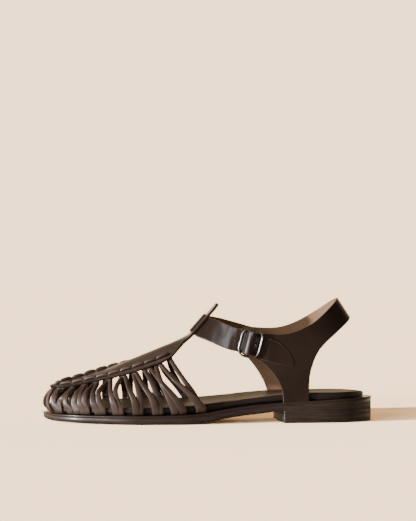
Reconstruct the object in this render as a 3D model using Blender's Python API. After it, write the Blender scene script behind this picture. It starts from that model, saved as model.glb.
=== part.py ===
"""T-strap sandal, left shoe: a woven vamp on a flat leather sole with a low stacked heel.

Frame: the toe points to -X, the outer side of the foot is -Y, +Z is up and the floor is z = 0.
All sizes below are millimetres; meshes are written in metres.
"""
import math
from collections import namedtuple

import bmesh
import bpy
import numpy as np

MM = 0.001

# ---- driving sizes ---------------------------------------------------------------------------
CRUMB = 1.0                # side of the smallest solid kept after a join
GAP = 0.3                  # air kept between two pieces that touch on the real shoe
WELT_THICKNESS = 1.5
OUTSOLE_SETBACK = 0.4      # the outsole edge lies this far inside the welt edge
INSOLE_SETBACK = 5.1       # the insole edge lies this far inside the welt edge
REBATE_HEIGHT = 1.9        # slot under the insole rim that takes the strap ends
REBATE_DEPTH = 6.3
TUCK_DEPTH = 5.2           # how far a strap end reaches under the insole
TUCK_THICKNESS = 1.2       # strap ends are shaved thin where they are tucked in
HEEL_BREAST_OUTER = 58.7
HEEL_BREAST_INNER = 56.5
HEEL_CORNER = 2.6
HEEL_ROUND = 0.6           # the heel's bottom edge is taken off by this much

VAMP_WALL = 2.1
TAB_ANGLE = math.radians(49.0)
TAB_LENGTH = 31.0
CROSSING_ALONG = 9.4       # ankle strap centre, measured up the tab from its root
SLIT_NEAR = 2.9            # slits in the tab, from its middle line
SLIT_FAR = 6.9
SLIT_LENGTH = 19.2
SLIT_CUT = 6.0             # the slit cutter stands this far out of the tab on both faces

STRAP_WIDTH = 18.0
STRAP_THICKNESS = 1.6
QUARTER_WALL = 1.8

HOOPS = 9                  # woven strips on each side
STRIP_SIDES = 5
UPPER_KEEP = 0.7          # share of the upper's faces kept once its pieces are joined
FIRST_SLIT_X = -115.4
LAST_SLIT_X = -31.4
SLIT_INSET = 3.9           # from the vamp's lip to the row of slits
LIP_ROLL = 1.1             # the lip is turned down by this much where the vamp is widest
WIDEST = 24.2
TAB_HALF = 11.6
BED_TILT = 0.035           # the insole rises towards the inner side, mm for each mm across
STRIP_TOP = (3.5, 2.4)     # width and thickness of a rolled strip under the lip
STRIP_FOOT = (5.6, 1.9)    # and pressed flat where it meets the sole
LOOP_ENDS = (3.4, 1.7)     # of a strip where it goes through the vamp
LOOP_MIDDLE = (4.2, 2.6)   # and where it lies on it
TOE_TOP = (4.2, 2.6)       # of the single strip at the toe
TOE_END = (6.0, 1.9)
STRIP_EDGE = 3.3           # middle of a strip foot, inside the welt edge

BUCKLE_CENTRE = (31.6, 62.2)
BUCKLE_TILT = math.radians(15.0)
BUCKLE_HEIGHT = 23.6
BUCKLE_WIDTH = 17.6
BUCKLE_CORNER = 6.2
BUCKLE_WIRE = 0.8
BUCKLE_OUT = 3.3           # from the quarter's face to the middle of the frame's wire
BAR_DROP = 1.2             # the centre bar sits this far behind the frame
BAR_WIRE = 0.85
LOOP_WALL = 0.9            # the quarter's end is shaved thin and folded round the bar
LOOP_HALF = 6.8
PRONG_WIRE = 0.5
PRONG_PLAY = 0.35          # clearance round the prong in its hole
BUCKLE_YAW = math.radians(5.0)

# ---- tables ----------------------------------------------------------------------------------
Plan = namedtuple("Plan", "x lateral medial")
SOLE_PLAN = [
    Plan(-129.0, 8.0, 8.0), Plan(-126.8, -3.2, 18.4), Plan(-121.0, -14.6, 26.2),
    Plan(-111.0, -25.6, 33.0), Plan(-96.0, -35.2, 38.8), Plan(-76.0, -42.6, 42.6),
    Plan(-55.0, -46.2, 43.6), Plan(-28.0, -46.0, 38.6), Plan(0.0, -41.4, 31.2),
    Plan(30.0, -35.6, 26.8), Plan(60.0, -32.7, 26.8), Plan(88.0, -31.4, 28.4),
    Plan(108.0, -27.2, 26.4), Plan(121.0, -17.8, 18.0), Plan(127.0, -8.4, 8.8),
    Plan(129.0, 0.4, 0.4),
]

Height = namedtuple("Height", "x ground seat bed")     # underside, welt top, insole top
HEIGHTS = [
    Height(-129.0, 2.9, 7.5, 14.2), Height(-122.0, 1.6, 7.1, 14.0), Height(-110.0, 1.1, 7.0, 13.9),
    Height(-88.0, 0.8, 7.0, 14.0), Height(-68.0, 0.4, 7.0, 14.1), Height(-50.0, 0.0, 7.0, 14.3),
    Height(-14.0, 0.0, 7.7, 15.7), Height(0.0, 1.8, 9.2, 17.1), Height(14.0, 4.5, 11.5, 18.6),
    Height(34.0, 6.9, 13.9, 20.9), Height(58.0, 9.4, 15.8, 22.8), Height(80.0, 10.7, 17.0, 23.4),
    Height(105.0, 11.9, 18.3, 23.5), Height(129.0, 12.8, 19.3, 22.9),
]

Vamp = namedtuple("Vamp", "x y crown half_width drop tilt")
VAMP_LEAF = [
    Vamp(-123.8, 7.4, 27.9, 2.2, 0.1, 0.3), Vamp(-122.8, 7.3, 28.2, 3.9, 0.2, 0.4),
    Vamp(-121.0, 7.1, 28.7, 5.6, 0.3, 0.6), Vamp(-117.0, 6.7, 29.5, 8.4, 0.4, 1.1),
    Vamp(-109.0, 6.0, 31.1, 11.8, 0.5, 1.6), Vamp(-99.6, 5.2, 33.6, 14.6, 0.8, 1.8),
    Vamp(-91.0, 4.5, 36.3, 16.8, 1.0, 2.1), Vamp(-81.0, 3.6, 39.3, 18.9, 1.6, 2.4),
    Vamp(-72.0, 2.9, 43.1, 20.4, 3.4, 2.2), Vamp(-60.7, 2.0, 48.0, 22.0, 5.8, 1.7),
    Vamp(-45.6, 1.0, 54.3, 23.6, 7.6, 1.2), Vamp(-36.0, 0.6, 58.3, 24.2, 8.2, 0.9),
    Vamp(-31.0, 0.5, 60.4, 23.9, 8.0, 0.7), Vamp(-27.6, 0.4, 61.8, 21.9, 7.0, 0.5),
    Vamp(-24.0, 0.3, 63.4, 17.6, 4.7, 0.3), Vamp(-19.5, 0.3, 65.5, 13.6, 2.2, 0.1),
    Vamp(-14.6, 0.3, 68.3, 11.6, 1.1, 0.0),
]
TAB_ROOT = (-13.0, 0.3, 69.5)
Tab = namedtuple("Tab", "along half_width drop")
TAB_END = [
    Tab(3.0, 11.1, 0.5), Tab(9.0, 11.0, 0.3), Tab(16.0, 11.0, 0.3), Tab(22.0, 10.8, 0.3),
    Tab(26.5, 10.4, 0.3), Tab(29.2, 9.0, 0.2), Tab(30.6, 7.0, 0.1), Tab(31.0, 5.2, 0.0),
]

Leg = namedtuple("Leg", "lip high low foot")            # x of a strip's leg, from the lip to the sole
FRONT_LEGS = [
    Leg(-118.0, -121.1, -121.7, -120.0), Leg(-106.3, -111.6, -112.8, -110.2),
    Leg(-97.2, -100.7, -101.5, -99.4), Leg(-87.7, -91.2, -90.9, -87.6),
    Leg(-77.6, -77.5, -75.6, -73.2), Leg(-66.0, -63.2, -58.9, -57.3),
    Leg(-57.5, -51.4, -45.0, -41.8), Leg(-46.3, -38.0, -28.2, -20.4),
    Leg(-38.2, -28.0, -15.6, -4.8),
]
REAR_LEGS = [
    Leg(-107.9, -114.6, -118.6, -119.0), Leg(-98.9, -105.1, -107.0, -104.6),
    Leg(-90.0, -97.0, -98.0, -97.2), Leg(-80.0, -86.8, -87.0, -84.4),
    Leg(-69.5, -73.7, -72.8, -70.4), Leg(-59.5, -56.5, -54.9, -54.4),
    Leg(-50.6, -44.6, -41.4, -39.4), Leg(-42.1, -38.6, -33.0, -27.2),
    Leg(-30.4, -22.6, -13.4, -7.0),
]
INNER_SHIFT = -5.0                                      # legs on the inner side stand further forward
INNER_FROM = (-110.0, -80.0)
Toe = namedtuple("Toe", "x y z")                        # middle lines of the two strips at the toe
TOE_STRIPS = {
    -1: [Toe(-122.8, 4.4, 22.6), Toe(-124.9, 1.0, 17.6), Toe(-125.1, -1.2, 12.8), Toe(-123.7, -2.2, 0.0)],
    1: [Toe(-124.4, 9.6, 22.6), Toe(-127.2, 12.0, 17.6), Toe(-127.4, 13.2, 12.8), Toe(-125.2, 13.6, 0.0)],
}
TOE_YAW = math.radians(20.0)                            # each turns its face outward by this
TOE_LOOP = (-119.6, -113.4)                             # x where the tip's short strip begins and ends
Rise = namedtuple("Rise", "share lift")                 # a strip's way over the vamp, to its middle
LOOP_RISE = [Rise(0.04, -0.7), Rise(0.13, 0.3), Rise(0.3, 1.0), Rise(0.5, 1.2)]

Side = namedtuple("Side", "z lateral medial")           # half widths of the ankle, outer face
ANKLE = [
    Side(22.0, 30.4, 26.2), Side(35.0, 30.4, 28.0), Side(50.0, 30.0, 28.4),
    Side(65.0, 29.4, 28.0), Side(80.0, 27.6, 26.8), Side(97.0, 25.0, 25.0),
]
ANKLE_START = 52.0         # behind this x the ankle's plan turns in to the heel
ANKLE_POWER = 2.3          # of the round that it follows
ANKLE_SPREAD = 0.0022      # ahead of it the walls draw together by this times the square
STEM_LEVELS = (15.0, 31.0)  # between these heights a stem bends out to the ankle's width
SLING_FOOT = (113.6, 81.5)  # x and z of the sling's lower and upper edge at the back
SLING_TOP = (103.4, 97.0)
SLING_TURN = (0.5, 0.85)   # extra ribs where it turns round the heel, as shares of the last gap

Rib = namedtuple("Rib", "rear_x rear_z front_x front_z")
QUARTER_LATERAL = [
    Rib(77.6, 18.0, 57.4, 16.4), Rib(77.6, 24.0, 57.0, 22.4), Rib(77.8, 31.0, 55.2, 28.6),
    Rib(78.6, 38.0, 51.8, 35.0), Rib(80.4, 44.6, 46.8, 41.4), Rib(82.6, 50.4, 39.8, 48.0),
    Rib(85.0, 54.8, 34.0, 53.0), Rib(87.4, 58.2, 33.2, 62.0), Rib(89.9, 60.9, 37.4, 68.4),
    Rib(92.5, 63.4, 44.4, 69.2), Rib(95.3, 65.8, 51.6, 68.6), Rib(98.1, 68.2, 59.4, 68.9),
    Rib(101.1, 70.7, 67.8, 71.1), Rib(104.3, 73.4, 75.8, 74.6), Rib(107.5, 76.1, 83.8, 79.5),
    Rib(110.7, 78.7, 92.3, 86.8), Rib(112.8, 80.7, 99.4, 93.2), Rib(113.6, 81.5, 103.4, 97.0),
]
QUARTER_MEDIAL = [
    Rib(72.6, 18.0, 51.0, 16.4), Rib(72.8, 24.0, 49.8, 22.4), Rib(73.6, 31.0, 47.2, 29.6),
    Rib(75.2, 38.0, 43.6, 36.4), Rib(77.8, 44.6, 39.4, 42.4), Rib(81.0, 50.4, 34.6, 48.0),
    Rib(84.0, 54.8, 29.0, 53.0), Rib(86.8, 58.2, 27.0, 60.0), Rib(89.6, 60.9, 27.8, 72.6),
    Rib(92.5, 63.4, 37.6, 73.0), Rib(95.3, 65.8, 48.6, 72.3), Rib(98.1, 68.2, 58.0, 72.7),
    Rib(101.1, 70.7, 67.0, 74.8), Rib(104.3, 73.4, 75.2, 78.3), Rib(107.5, 76.1, 83.4, 82.9),
    Rib(110.7, 78.7, 91.9, 88.4), Rib(112.8, 80.7, 99.2, 93.8), Rib(113.6, 81.5, 103.4, 97.0),
]

Run = namedtuple("Run", "x y z lean")                   # ankle strap, centre line and slope
STRAP_LATERAL = [
    Run(-2.6, -14.5, 73.6, 52.0), Run(3.8, -20.9, 71.3, 57.0), Run(11.5, -25.8, 67.9, 64.0),
    Run(18.0, -28.4, 65.5, 70.0),
]
STRAP_MEDIAL = [
    Run(-2.4, 15.3, 74.4, 52.0), Run(4.2, 21.4, 72.9, 58.0), Run(12.5, 26.2, 70.9, 65.0),
    Run(22.0, 28.9, 68.2, 71.0), Run(33.0, 30.2, 65.0, 75.0), Run(45.5, 30.6, 61.8, 78.0),
]
Cross = namedtuple("Cross", "y lift")                   # strap middle, through the tab's slits
CROSSING = [
    Cross(0.0, 1.1), Cross(3.0, 1.1), Cross(3.6, 0.95), Cross(6.2, -3.0), Cross(6.9, -3.25),
    Cross(11.2, -3.7),
]
Lift = namedtuple("Lift", "along height")               # strap middle through the buckle
BUCKLE_LIFT = [
    Lift(-8.6, -2.15), Lift(-5.4, -2.15), Lift(-4.3, -1.5), Lift(-2.9, 0.4), Lift(-1.5, 1.8),
    Lift(0.0, 2.2), Lift(1.5, 1.8), Lift(2.9, 0.4), Lift(4.3, -1.5), Lift(5.4, -2.15),
    Lift(8.6, -2.15),
]
End = namedtuple("End", "x z half_width")               # free end, lying on the quarter
STRAP_END = [
    End(41.6, 58.5, 9.0), End(48.1, 56.0, 8.6), End(54.8, 52.4, 6.9), End(60.0, 48.9, 4.9),
    End(62.6, 46.4, 3.2), End(63.8, 44.7, 1.9), End(64.4, 43.8, 0.8),
]

Out = namedtuple("Out", "along out")                    # sections across the buckle's bar
PRONG_REACH = [Out(1.3, 0.55), Out(2.6, 0.72), Out(4.0, 0.9), Out(5.4, 1.0)]
FOLD_TAIL = [Out(-1.0, -4.2), Out(1.0, -4.9), Out(6.0, -4.7), Out(6.0, -3.6), Out(3.2, -3.0)]
PRONG_SLOT = [Out(-3.0, -4.0), Out(3.4, -4.0), Out(3.4, 2.0), Out(-3.0, 2.0)]

# ---- curves and small maths ------------------------------------------------------------------
def unit(v):
    v = np.asarray(v, float)
    return v / np.linalg.norm(v)


def eased(keys, values, at):
    """Monotone cubic through a table: smooth, and never past its own rows."""
    keys = np.asarray(keys, float)
    values = np.asarray(values, float)
    step = np.diff(keys)
    slope = np.diff(values) / step
    tangent = np.zeros(len(keys))
    tangent[0], tangent[-1] = slope[0], slope[-1]
    for i in range(1, len(keys) - 1):
        if slope[i - 1] * slope[i] > 0:
            a = 2 * step[i] + step[i - 1]
            b = step[i] + 2 * step[i - 1]
            tangent[i] = (a + b) / (a / slope[i - 1] + b / slope[i])
    at = np.clip(np.asarray(at, float), keys[0], keys[-1])
    i = np.clip(np.searchsorted(keys, at, side="right") - 1, 0, len(keys) - 2)
    t = (at - keys[i]) / step[i]
    return ((1 + 2 * t) * (1 - t) ** 2 * values[i] + t * (1 - t) ** 2 * step[i] * tangent[i]
            + t * t * (3 - 2 * t) * values[i + 1] - t * t * (1 - t) * step[i] * tangent[i + 1])


def column(table, name):
    return [getattr(row, name) for row in table]


def height(name, x):
    return eased(column(HEIGHTS, "x"), column(HEIGHTS, name), x)


def refine(points, per_span):
    """Smooth curve through points (Catmull-Rom), per_span steps between each two."""
    pts = np.asarray(points, float)
    pts = np.vstack([2 * pts[0] - pts[1], pts, 2 * pts[-1] - pts[-2]])
    out = []
    for a, b, c, d in zip(pts, pts[1:], pts[2:], pts[3:]):
        for k in range(per_span):
            t = k / per_span
            out.append(0.5 * (2 * b + (c - a) * t + (2 * a - 5 * b + 4 * c - d) * t ** 2
                              + (3 * b - a - 3 * c + d) * t ** 3))
    out.append(pts[-2])
    return np.array(out)


def bezier(p0, p1, p2, p3, count):
    t = np.linspace(0.0, 1.0, count)[:, None]
    return ((1 - t) ** 3 * np.asarray(p0) + 3 * t * (1 - t) ** 2 * np.asarray(p1)
            + 3 * t * t * (1 - t) * np.asarray(p2) + t ** 3 * np.asarray(p3))


# ---- meshes ----------------------------------------------------------------------------------
def clear_scene():
    for obj in list(bpy.data.objects):
        bpy.data.objects.remove(obj, do_unlink=True)


def finish(name, colour, roughness, metallic=0.0):
    mat = bpy.data.materials.new(name)
    mat.use_nodes = True
    shader = mat.node_tree.nodes["Principled BSDF"]
    shader.inputs["Base Color"].default_value = (*colour, 1.0)
    shader.inputs["Roughness"].default_value = roughness
    shader.inputs["Metallic"].default_value = metallic
    mat.diffuse_color = (*colour, 1.0)
    return mat


def make_object(name, points, faces, material=None):
    """One object from points in millimetres, with its faces turned outward."""
    mesh = bpy.data.meshes.new(name)
    mesh.from_pydata([tuple(float(c) * MM for c in p) for p in points], [], faces)
    bm = bmesh.new()
    bm.from_mesh(mesh)
    bmesh.ops.triangulate(bm, faces=[f for f in bm.faces if len(f.verts) > 4])
    bmesh.ops.recalc_face_normals(bm, faces=bm.faces)
    bm.to_mesh(mesh)
    bm.free()
    mesh.shade_smooth()
    mesh.set_sharp_from_angle(angle=math.radians(35))
    obj = bpy.data.objects.new(name, mesh)
    bpy.context.scene.collection.objects.link(obj)
    if material:
        mesh.materials.append(material)
    return obj


def drop_sealed_voids(mesh):
    """Removes inner shells and crumbs, so pockets closed in between crossing cords are solid."""
    bm = bmesh.new()
    bm.from_mesh(mesh)
    bmesh.ops.triangulate(bm, faces=bm.faces, quad_method="BEAUTY", ngon_method="BEAUTY")
    left = set(bm.faces)
    dropped = []
    while left:
        island = [left.pop()]
        for face in island:
            for edge in face.edges:
                for near in edge.link_faces:
                    if near in left and len(edge.link_faces) == 2:
                        left.remove(near)
                        island.append(near)
        origin = island[0].verts[0].co.copy()
        volume = 0.0
        for face in island:
            corners = [v.co - origin for v in face.verts]
            for second, third in zip(corners[1:], corners[2:]):
                volume += corners[0].dot(second.cross(third)) / 6
        if volume < (CRUMB * MM) ** 3:
            dropped += island
    bmesh.ops.delete(bm, geom=dropped, context="FACES")
    bm.to_mesh(mesh)
    bm.free()


def combine(target, others, operation):
    """Joins others to the target, or cuts them from it, with the exact solver."""
    group = bpy.data.collections.new("operands")
    bpy.context.scene.collection.children.link(group)
    for other in others:
        group.objects.link(other)
    mod = target.modifiers.new("combine", "BOOLEAN")
    mod.operation = operation
    mod.solver = "EXACT"
    mod.operand_type = "COLLECTION"
    mod.collection = group
    graph = bpy.context.evaluated_depsgraph_get()
    mesh = bpy.data.meshes.new_from_object(target.evaluated_get(graph))
    target.modifiers.clear()
    target.data = mesh
    for other in others:
        bpy.data.objects.remove(other, do_unlink=True)
    bpy.data.collections.remove(group)
    drop_sealed_voids(mesh)
    mesh.shade_smooth()
    mesh.set_sharp_from_angle(angle=math.radians(35))


def lighten(target, keep):
    """Collapses the shortest edges, such as those that a join leaves, down to a share of the faces."""
    mod = target.modifiers.new("lighten", "DECIMATE")
    mod.ratio = keep
    graph = bpy.context.evaluated_depsgraph_get()
    mesh = bpy.data.meshes.new_from_object(target.evaluated_get(graph))
    target.modifiers.clear()
    target.data = mesh


def rings_object(name, rings, closed_ends, material=None):
    """Skin over rings of equal length; closed_ends are lists of faces over the first and last."""
    count = len(rings[0])
    points = [p for ring in rings for p in ring]
    faces = []
    for r in range(len(rings) - 1):
        for i in range(count):
            j = (i + 1) % count
            faces.append((r * count + i, r * count + j, (r + 1) * count + j, (r + 1) * count + i))
    last = (len(rings) - 1) * count
    for face in closed_ends:
        faces.append(tuple(reversed(face)))
        faces.append(tuple(last + i for i in face))
    return make_object(name, points, faces, material)


def tube(name, path, sizes, across, sides, material=None):
    """Oval cord: sizes are (width, thickness) and across the width direction at each point."""
    path = np.asarray(path, float)
    tangents = np.gradient(path, axis=0)
    rings = []
    for p, t, (wide, thick), side in zip(path, tangents, sizes, across):
        t = unit(t)
        w = unit(np.asarray(side) - t * np.dot(side, t))
        n = np.cross(t, w)
        angles = [2 * math.pi * (k + 0.5) / sides for k in range(sides)]
        rings.append([p + w * (wide / 2 * math.cos(a)) + n * (thick / 2 * math.sin(a)) for a in angles])
    return rings_object(name, rings, [tuple(range(sides))], material)


def sheet(name, grid, thickness, material=None):
    """Leather of one thickness under a grid of points on its outer face."""
    grid = np.asarray(grid, float)
    along = np.gradient(grid, axis=0)
    across = np.gradient(grid, axis=1)
    normal = np.cross(along, across)
    normal /= np.linalg.norm(normal, axis=2)[..., None]
    inner = grid - normal * thickness
    rows, cols = grid.shape[:2]
    points = list(grid.reshape(-1, 3)) + list(inner.reshape(-1, 3))
    half = rows * cols
    faces = []
    for i in range(rows - 1):
        for j in range(cols - 1):
            quad = (i * cols + j, i * cols + j + 1, (i + 1) * cols + j + 1, (i + 1) * cols + j)
            faces.append(quad)
            faces.append(tuple(half + k for k in reversed(quad)))
    rim = [j for j in range(cols)] + [i * cols + cols - 1 for i in range(1, rows)]
    rim += [(rows - 1) * cols + j for j in range(cols - 2, -1, -1)]
    rim += [i * cols for i in range(rows - 2, 0, -1)]
    for a, b in zip(rim, rim[1:] + rim[:1]):
        faces.append((b, a, half + a, half + b))
    return make_object(name, points, faces, material)


# ---- sole ------------------------------------------------------------------------------------
SOLE_STEPS = 34


def sole_turn(x):
    """Half a turn from toe to heel, so that steps crowd together at the sole's round ends."""
    start, end = SOLE_PLAN[0].x, SOLE_PLAN[-1].x
    return np.arccos(np.clip(1 - 2 * (np.asarray(x, float) - start) / (end - start), -1, 1))


def sole_edge(x, side):
    """y of the welt edge at x, on the lateral or the medial side."""
    return eased(sole_turn(column(SOLE_PLAN, "x")), column(SOLE_PLAN, side), sole_turn(x))


def sole_loop(setback):
    """Closed plan of the sole, moved inward by setback: toe, lateral side, heel, medial side."""
    start, end = SOLE_PLAN[0].x, SOLE_PLAN[-1].x
    turns = np.linspace(0, math.pi, SOLE_STEPS + 1)
    x = start + (end - start) * (1 - np.cos(turns)) / 2
    lateral = np.column_stack([x, sole_edge(x, "lateral")])
    medial = np.column_stack([x, sole_edge(x, "medial")])[-2:0:-1]
    loop = np.vstack([lateral, medial])
    ahead = np.roll(loop, -1, axis=0) - np.roll(loop, 1, axis=0)
    inward = np.column_stack([-ahead[:, 1], ahead[:, 0]])
    inward /= np.linalg.norm(inward, axis=1)[:, None]
    return loop + inward * setback


def ladder(count):
    """Faces over a sole loop: rungs join each lateral point to the medial one across from it."""
    faces = [(0, 1, count - 1)]
    for i in range(1, count // 2 - 1):
        faces.append((i, i + 1, count - i - 1, count - i))
    faces.append((count // 2 - 1, count // 2, count // 2 + 1))
    return faces


def sole_layer(name, steps, material):
    """A layer of the sole from (setback, height column, offset) steps, bottom to top."""
    rings = []
    for setback, level, offset in steps:
        loop = sole_loop(setback)
        z = height(level, loop[:, 0]) + offset
        if level == "bed":
            z = z + BED_TILT * loop[:, 1]
        rings.append(np.column_stack([loop, z]))
    return rings_object(name, rings, ladder(len(rings[0])), material)


def rounded_corner(before, corner, after, radius, count):
    before, corner, after = (np.asarray(p, float) for p in (before, corner, after))
    start = corner + unit(before - corner) * radius
    end = corner + unit(after - corner) * radius
    t = np.linspace(0, 1, count)[:, None]
    return (1 - t) ** 2 * start + 2 * t * (1 - t) * corner + t * t * end


def heel_block(material):
    loop = sole_loop(OUTSOLE_SETBACK)
    half = len(loop) // 2
    lateral = [p for p in loop[:half + 1] if p[0] > HEEL_BREAST_OUTER + HEEL_CORNER + 1]
    medial = [p for p in loop[half + 1:] if p[0] > HEEL_BREAST_INNER + HEEL_CORNER + 1]
    outer = (HEEL_BREAST_OUTER, float(sole_edge(HEEL_BREAST_OUTER, "lateral")) + OUTSOLE_SETBACK)
    inner = (HEEL_BREAST_INNER, float(sole_edge(HEEL_BREAST_INNER, "medial")) - OUTSOLE_SETBACK)
    plan = list(rounded_corner(inner, outer, lateral[0], HEEL_CORNER, 4)) + lateral + medial
    plan += list(rounded_corner(medial[-1], inner, outer, HEEL_CORNER, 4))
    plan = np.array(plan)
    middle = plan.mean(axis=0)
    inward = (middle - plan) / np.linalg.norm(middle - plan, axis=1)[:, None]
    top = height("ground", plan[:, 0]) - GAP
    rings = [np.column_stack([plan + inward * HEEL_ROUND, np.zeros(len(plan))]),
             np.column_stack([plan, np.full(len(plan), HEEL_ROUND)]),
             np.column_stack([plan, top])]
    count = len(plan)
    rungs = [(i, i + 1, count - 2 - i, count - 1 - i) for i in range(count // 2 - 1)]
    if count % 2:
        mid = count // 2
        rungs.append((mid - 1, mid, mid + 1))
    return rings_object("heel", rings, rungs, material)


# ---- vamp with T-strap and woven strips ------------------------------------------------------
def tab_point(along, y=0.0, lift=0.0):
    """A point of the tab's outer face, or lift above it."""
    x = TAB_ROOT[0] + along * math.cos(TAB_ANGLE) - lift * math.sin(TAB_ANGLE)
    z = TAB_ROOT[2] + along * math.sin(TAB_ANGLE) + lift * math.cos(TAB_ANGLE)
    return np.array([x, TAB_ROOT[1] + y, z])


def vamp_table():
    rows = list(VAMP_LEAF)
    for tab in TAB_END:
        x, y, z = tab_point(tab.along)
        rows.append(Vamp(x, y, z, tab.half_width, tab.drop, 0.0))
    return rows


VAMP_ROWS = vamp_table()


def vamp_point(x, v):
    """Outer face of the vamp at station x; v runs from -1, lateral lip, to +1, medial lip."""
    keys = column(VAMP_ROWS, "x")
    names = ("y", "crown", "half_width", "drop", "tilt")
    y, z, half, drop, tilt = (eased(keys, column(VAMP_ROWS, n), x) for n in names)
    roll = LIP_ROLL * max(0.0, half - TAB_HALF) / (WIDEST - TAB_HALF)
    return np.array([x, y + v * half, z + tilt * v - drop * v * v - roll * v ** 8])


def vamp_normal(x, v):
    e = 0.2
    along = vamp_point(x + e, v) - vamp_point(x - e, v)
    across = vamp_point(x, v + 0.01) - vamp_point(x, v - 0.01)
    return unit(np.cross(along, across))


def vamp_sheet(material):
    xs = []
    for a, b in zip(VAMP_ROWS, VAMP_ROWS[1:]):
        parts = 2 if b.x - a.x > 3.4 else 1
        xs += [a.x + (b.x - a.x) * k / parts for k in range(parts)]
    xs.append(VAMP_ROWS[-1].x)
    grid = [[vamp_point(x, v) for v in np.linspace(-1, 1, 6)] for x in xs]
    return sheet("upper", grid, VAMP_WALL, material)


def slit_v(x, side):
    half = float(eased(column(VAMP_ROWS, "x"), column(VAMP_ROWS, "half_width"), x))
    return side * max(0.25, 1 - SLIT_INSET / half)


def strip_loop(x0, x1, side):
    """The short run of a strip over the vamp, between two slits."""
    rise = LOOP_RISE + [Rise(1 - r.share, r.lift) for r in reversed(LOOP_RISE[:-1])]
    path = []
    for share, lift in rise:
        x = x0 + (x1 - x0) * share
        v = slit_v(x, side)
        path.append(vamp_point(x, v) + vamp_normal(x, v) * lift)
    sizes = [LOOP_ENDS] * 2 + [LOOP_MIDDLE] * (len(path) - 4) + [LOOP_ENDS] * 2
    return tube("loop", path, sizes, [(0, 1, 0)] * len(path), STRIP_SIDES)


def inner_shift(x):
    """How far a leg on the inner side stands from where it would be on the outer side."""
    low, high = INNER_FROM
    return INNER_SHIFT * min(1.0, max(0.0, (x - low) / (high - low)))


def foot_frame(x, side):
    """The welt edge at x: the point, its direction and the way in to the insole."""
    name = "lateral" if side < 0 else "medial"
    slope = float(sole_edge(x + 0.5, name) - sole_edge(x - 0.5, name))
    along = unit((1.0, slope, 0.0))
    inward = np.cross(along, (0, 0, 1)) * side
    return np.array([x, float(sole_edge(x, name)), 0.0]), along, inward


def strip_leg(slit_x, leg, side, depth):
    """One leg of a strip: out of its slit, under the lip and down to the sole's edge."""
    v = slit_v(slit_x, side)
    below = VAMP_WALL + STRIP_TOP[1] / 2 - 0.35
    v += (side - v) * 0.45
    start = vamp_point(slit_x, v) - vamp_normal(slit_x, v) * (below - 0.6)
    lip = vamp_point(leg.lip, side) - vamp_normal(leg.lip, side) * (below + 0.8)
    shifts = [inner_shift(x) * part if side > 0 else 0.0 for x, part in
              ((leg.high, 0.5), (leg.low, 0.9), (leg.foot, 1.0))]
    seat = float(height("seat", leg.foot + shifts[2])) + GAP
    stations = [lip]
    for x, shift, out, bulge, inside, drop in zip(
            (leg.high, leg.low, leg.foot), shifts, (0.79, 0.97, 1.0), (1.1, 1.6, 0.0),
            (0.6, 0.8, 0.15), (0.3, 0.65, 1.0)):
        edge, along, inward = foot_frame(x + shift, side)
        base = edge + inward * (STRIP_EDGE - bulge + depth * inside)
        base[1] = lip[1] + (base[1] - lip[1]) * out
        base[2] = lip[2] + (seat + 3.2 - lip[2]) * drop
        stations.append(base)
    path = [start] + list(refine(stations, 2)) + [np.array([*stations[-1][:2], seat + 1.1])]
    share = np.linspace(0, 1, len(path))
    sizes = [(STRIP_TOP[0] + (STRIP_FOOT[0] - STRIP_TOP[0]) * t ** 2.2,
              STRIP_TOP[1] + (STRIP_FOOT[1] - STRIP_TOP[1]) * t) for t in share]
    sizes[0] = (STRIP_TOP[0], LOOP_ENDS[1])
    sizes[-1] = (STRIP_FOOT[0], 1.8)
    across = [np.array([1.0, 0, 0]) * (1 - t) + along * t for t in share]
    return tube("leg", path, sizes, across, STRIP_SIDES)


def strip_tuck(foot_x, side, width):
    """The shaved end of a strip, turned in under the insole."""
    edge, along, inward = foot_frame(foot_x, side)
    rings = []
    for reach in (STRIP_EDGE - 0.8, STRIP_EDGE + TUCK_DEPTH):
        ring = []
        for shift, rise in ((-0.5, 0), (0.5, 0), (0.5, 1), (-0.5, 1)):
            p = edge + inward * reach + along * (shift * width)
            p[2] = float(height("seat", p[0])) + GAP + rise * TUCK_THICKNESS
            ring.append(p)
        rings.append(ring)
    return rings_object("tuck", rings, [(0, 1, 2, 3)])


def toe_strip(side):
    """One of the pair of strips that close the weave at the toe, from under the vamp's tip."""
    tip = vamp_point(-121.0, 0.0)
    foot = TOE_STRIPS[side][-1]
    seat = float(height("seat", foot.x)) + GAP
    path = [tip + np.array([4.2, side * 1.0, -1.9]), tip + np.array([0.5, side * 1.2, -3.1])]
    path += [np.array(toe) for toe in TOE_STRIPS[side][:-1]]
    path += [np.array([foot.x - 0.4, foot.y, seat + 3.0]), np.array([foot.x, foot.y, seat + 1.1])]
    path = refine(path, 2)
    share = np.linspace(0, 1, len(path))
    sizes = [tuple(a + (b - a) * t for a, b in zip(TOE_TOP, TOE_END)) for t in share]
    turn = [TOE_YAW * min(1.0, 2.5 * t) for t in share]
    across = [(side * math.sin(a), math.cos(a), 0) for a in turn]
    return tube("toe leg", path, sizes, across, STRIP_SIDES)


def toe_tuck(side):
    """The shaved end of a toe strip, turned in under the insole."""
    foot = TOE_STRIPS[side][-1]
    rings = []
    for x in (foot.x - 0.5, foot.x + TUCK_DEPTH):
        y, z = foot.y - side * (x - foot.x) * 0.2, float(height("seat", x)) + GAP
        rings.append([(x, y - 2.6, z), (x, y + 2.6, z), (x, y + 2.6, z + TUCK_THICKNESS),
                      (x, y - 2.6, z + TUCK_THICKNESS)])
    return rings_object("toe tuck", rings, [(0, 1, 2, 3)])


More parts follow.
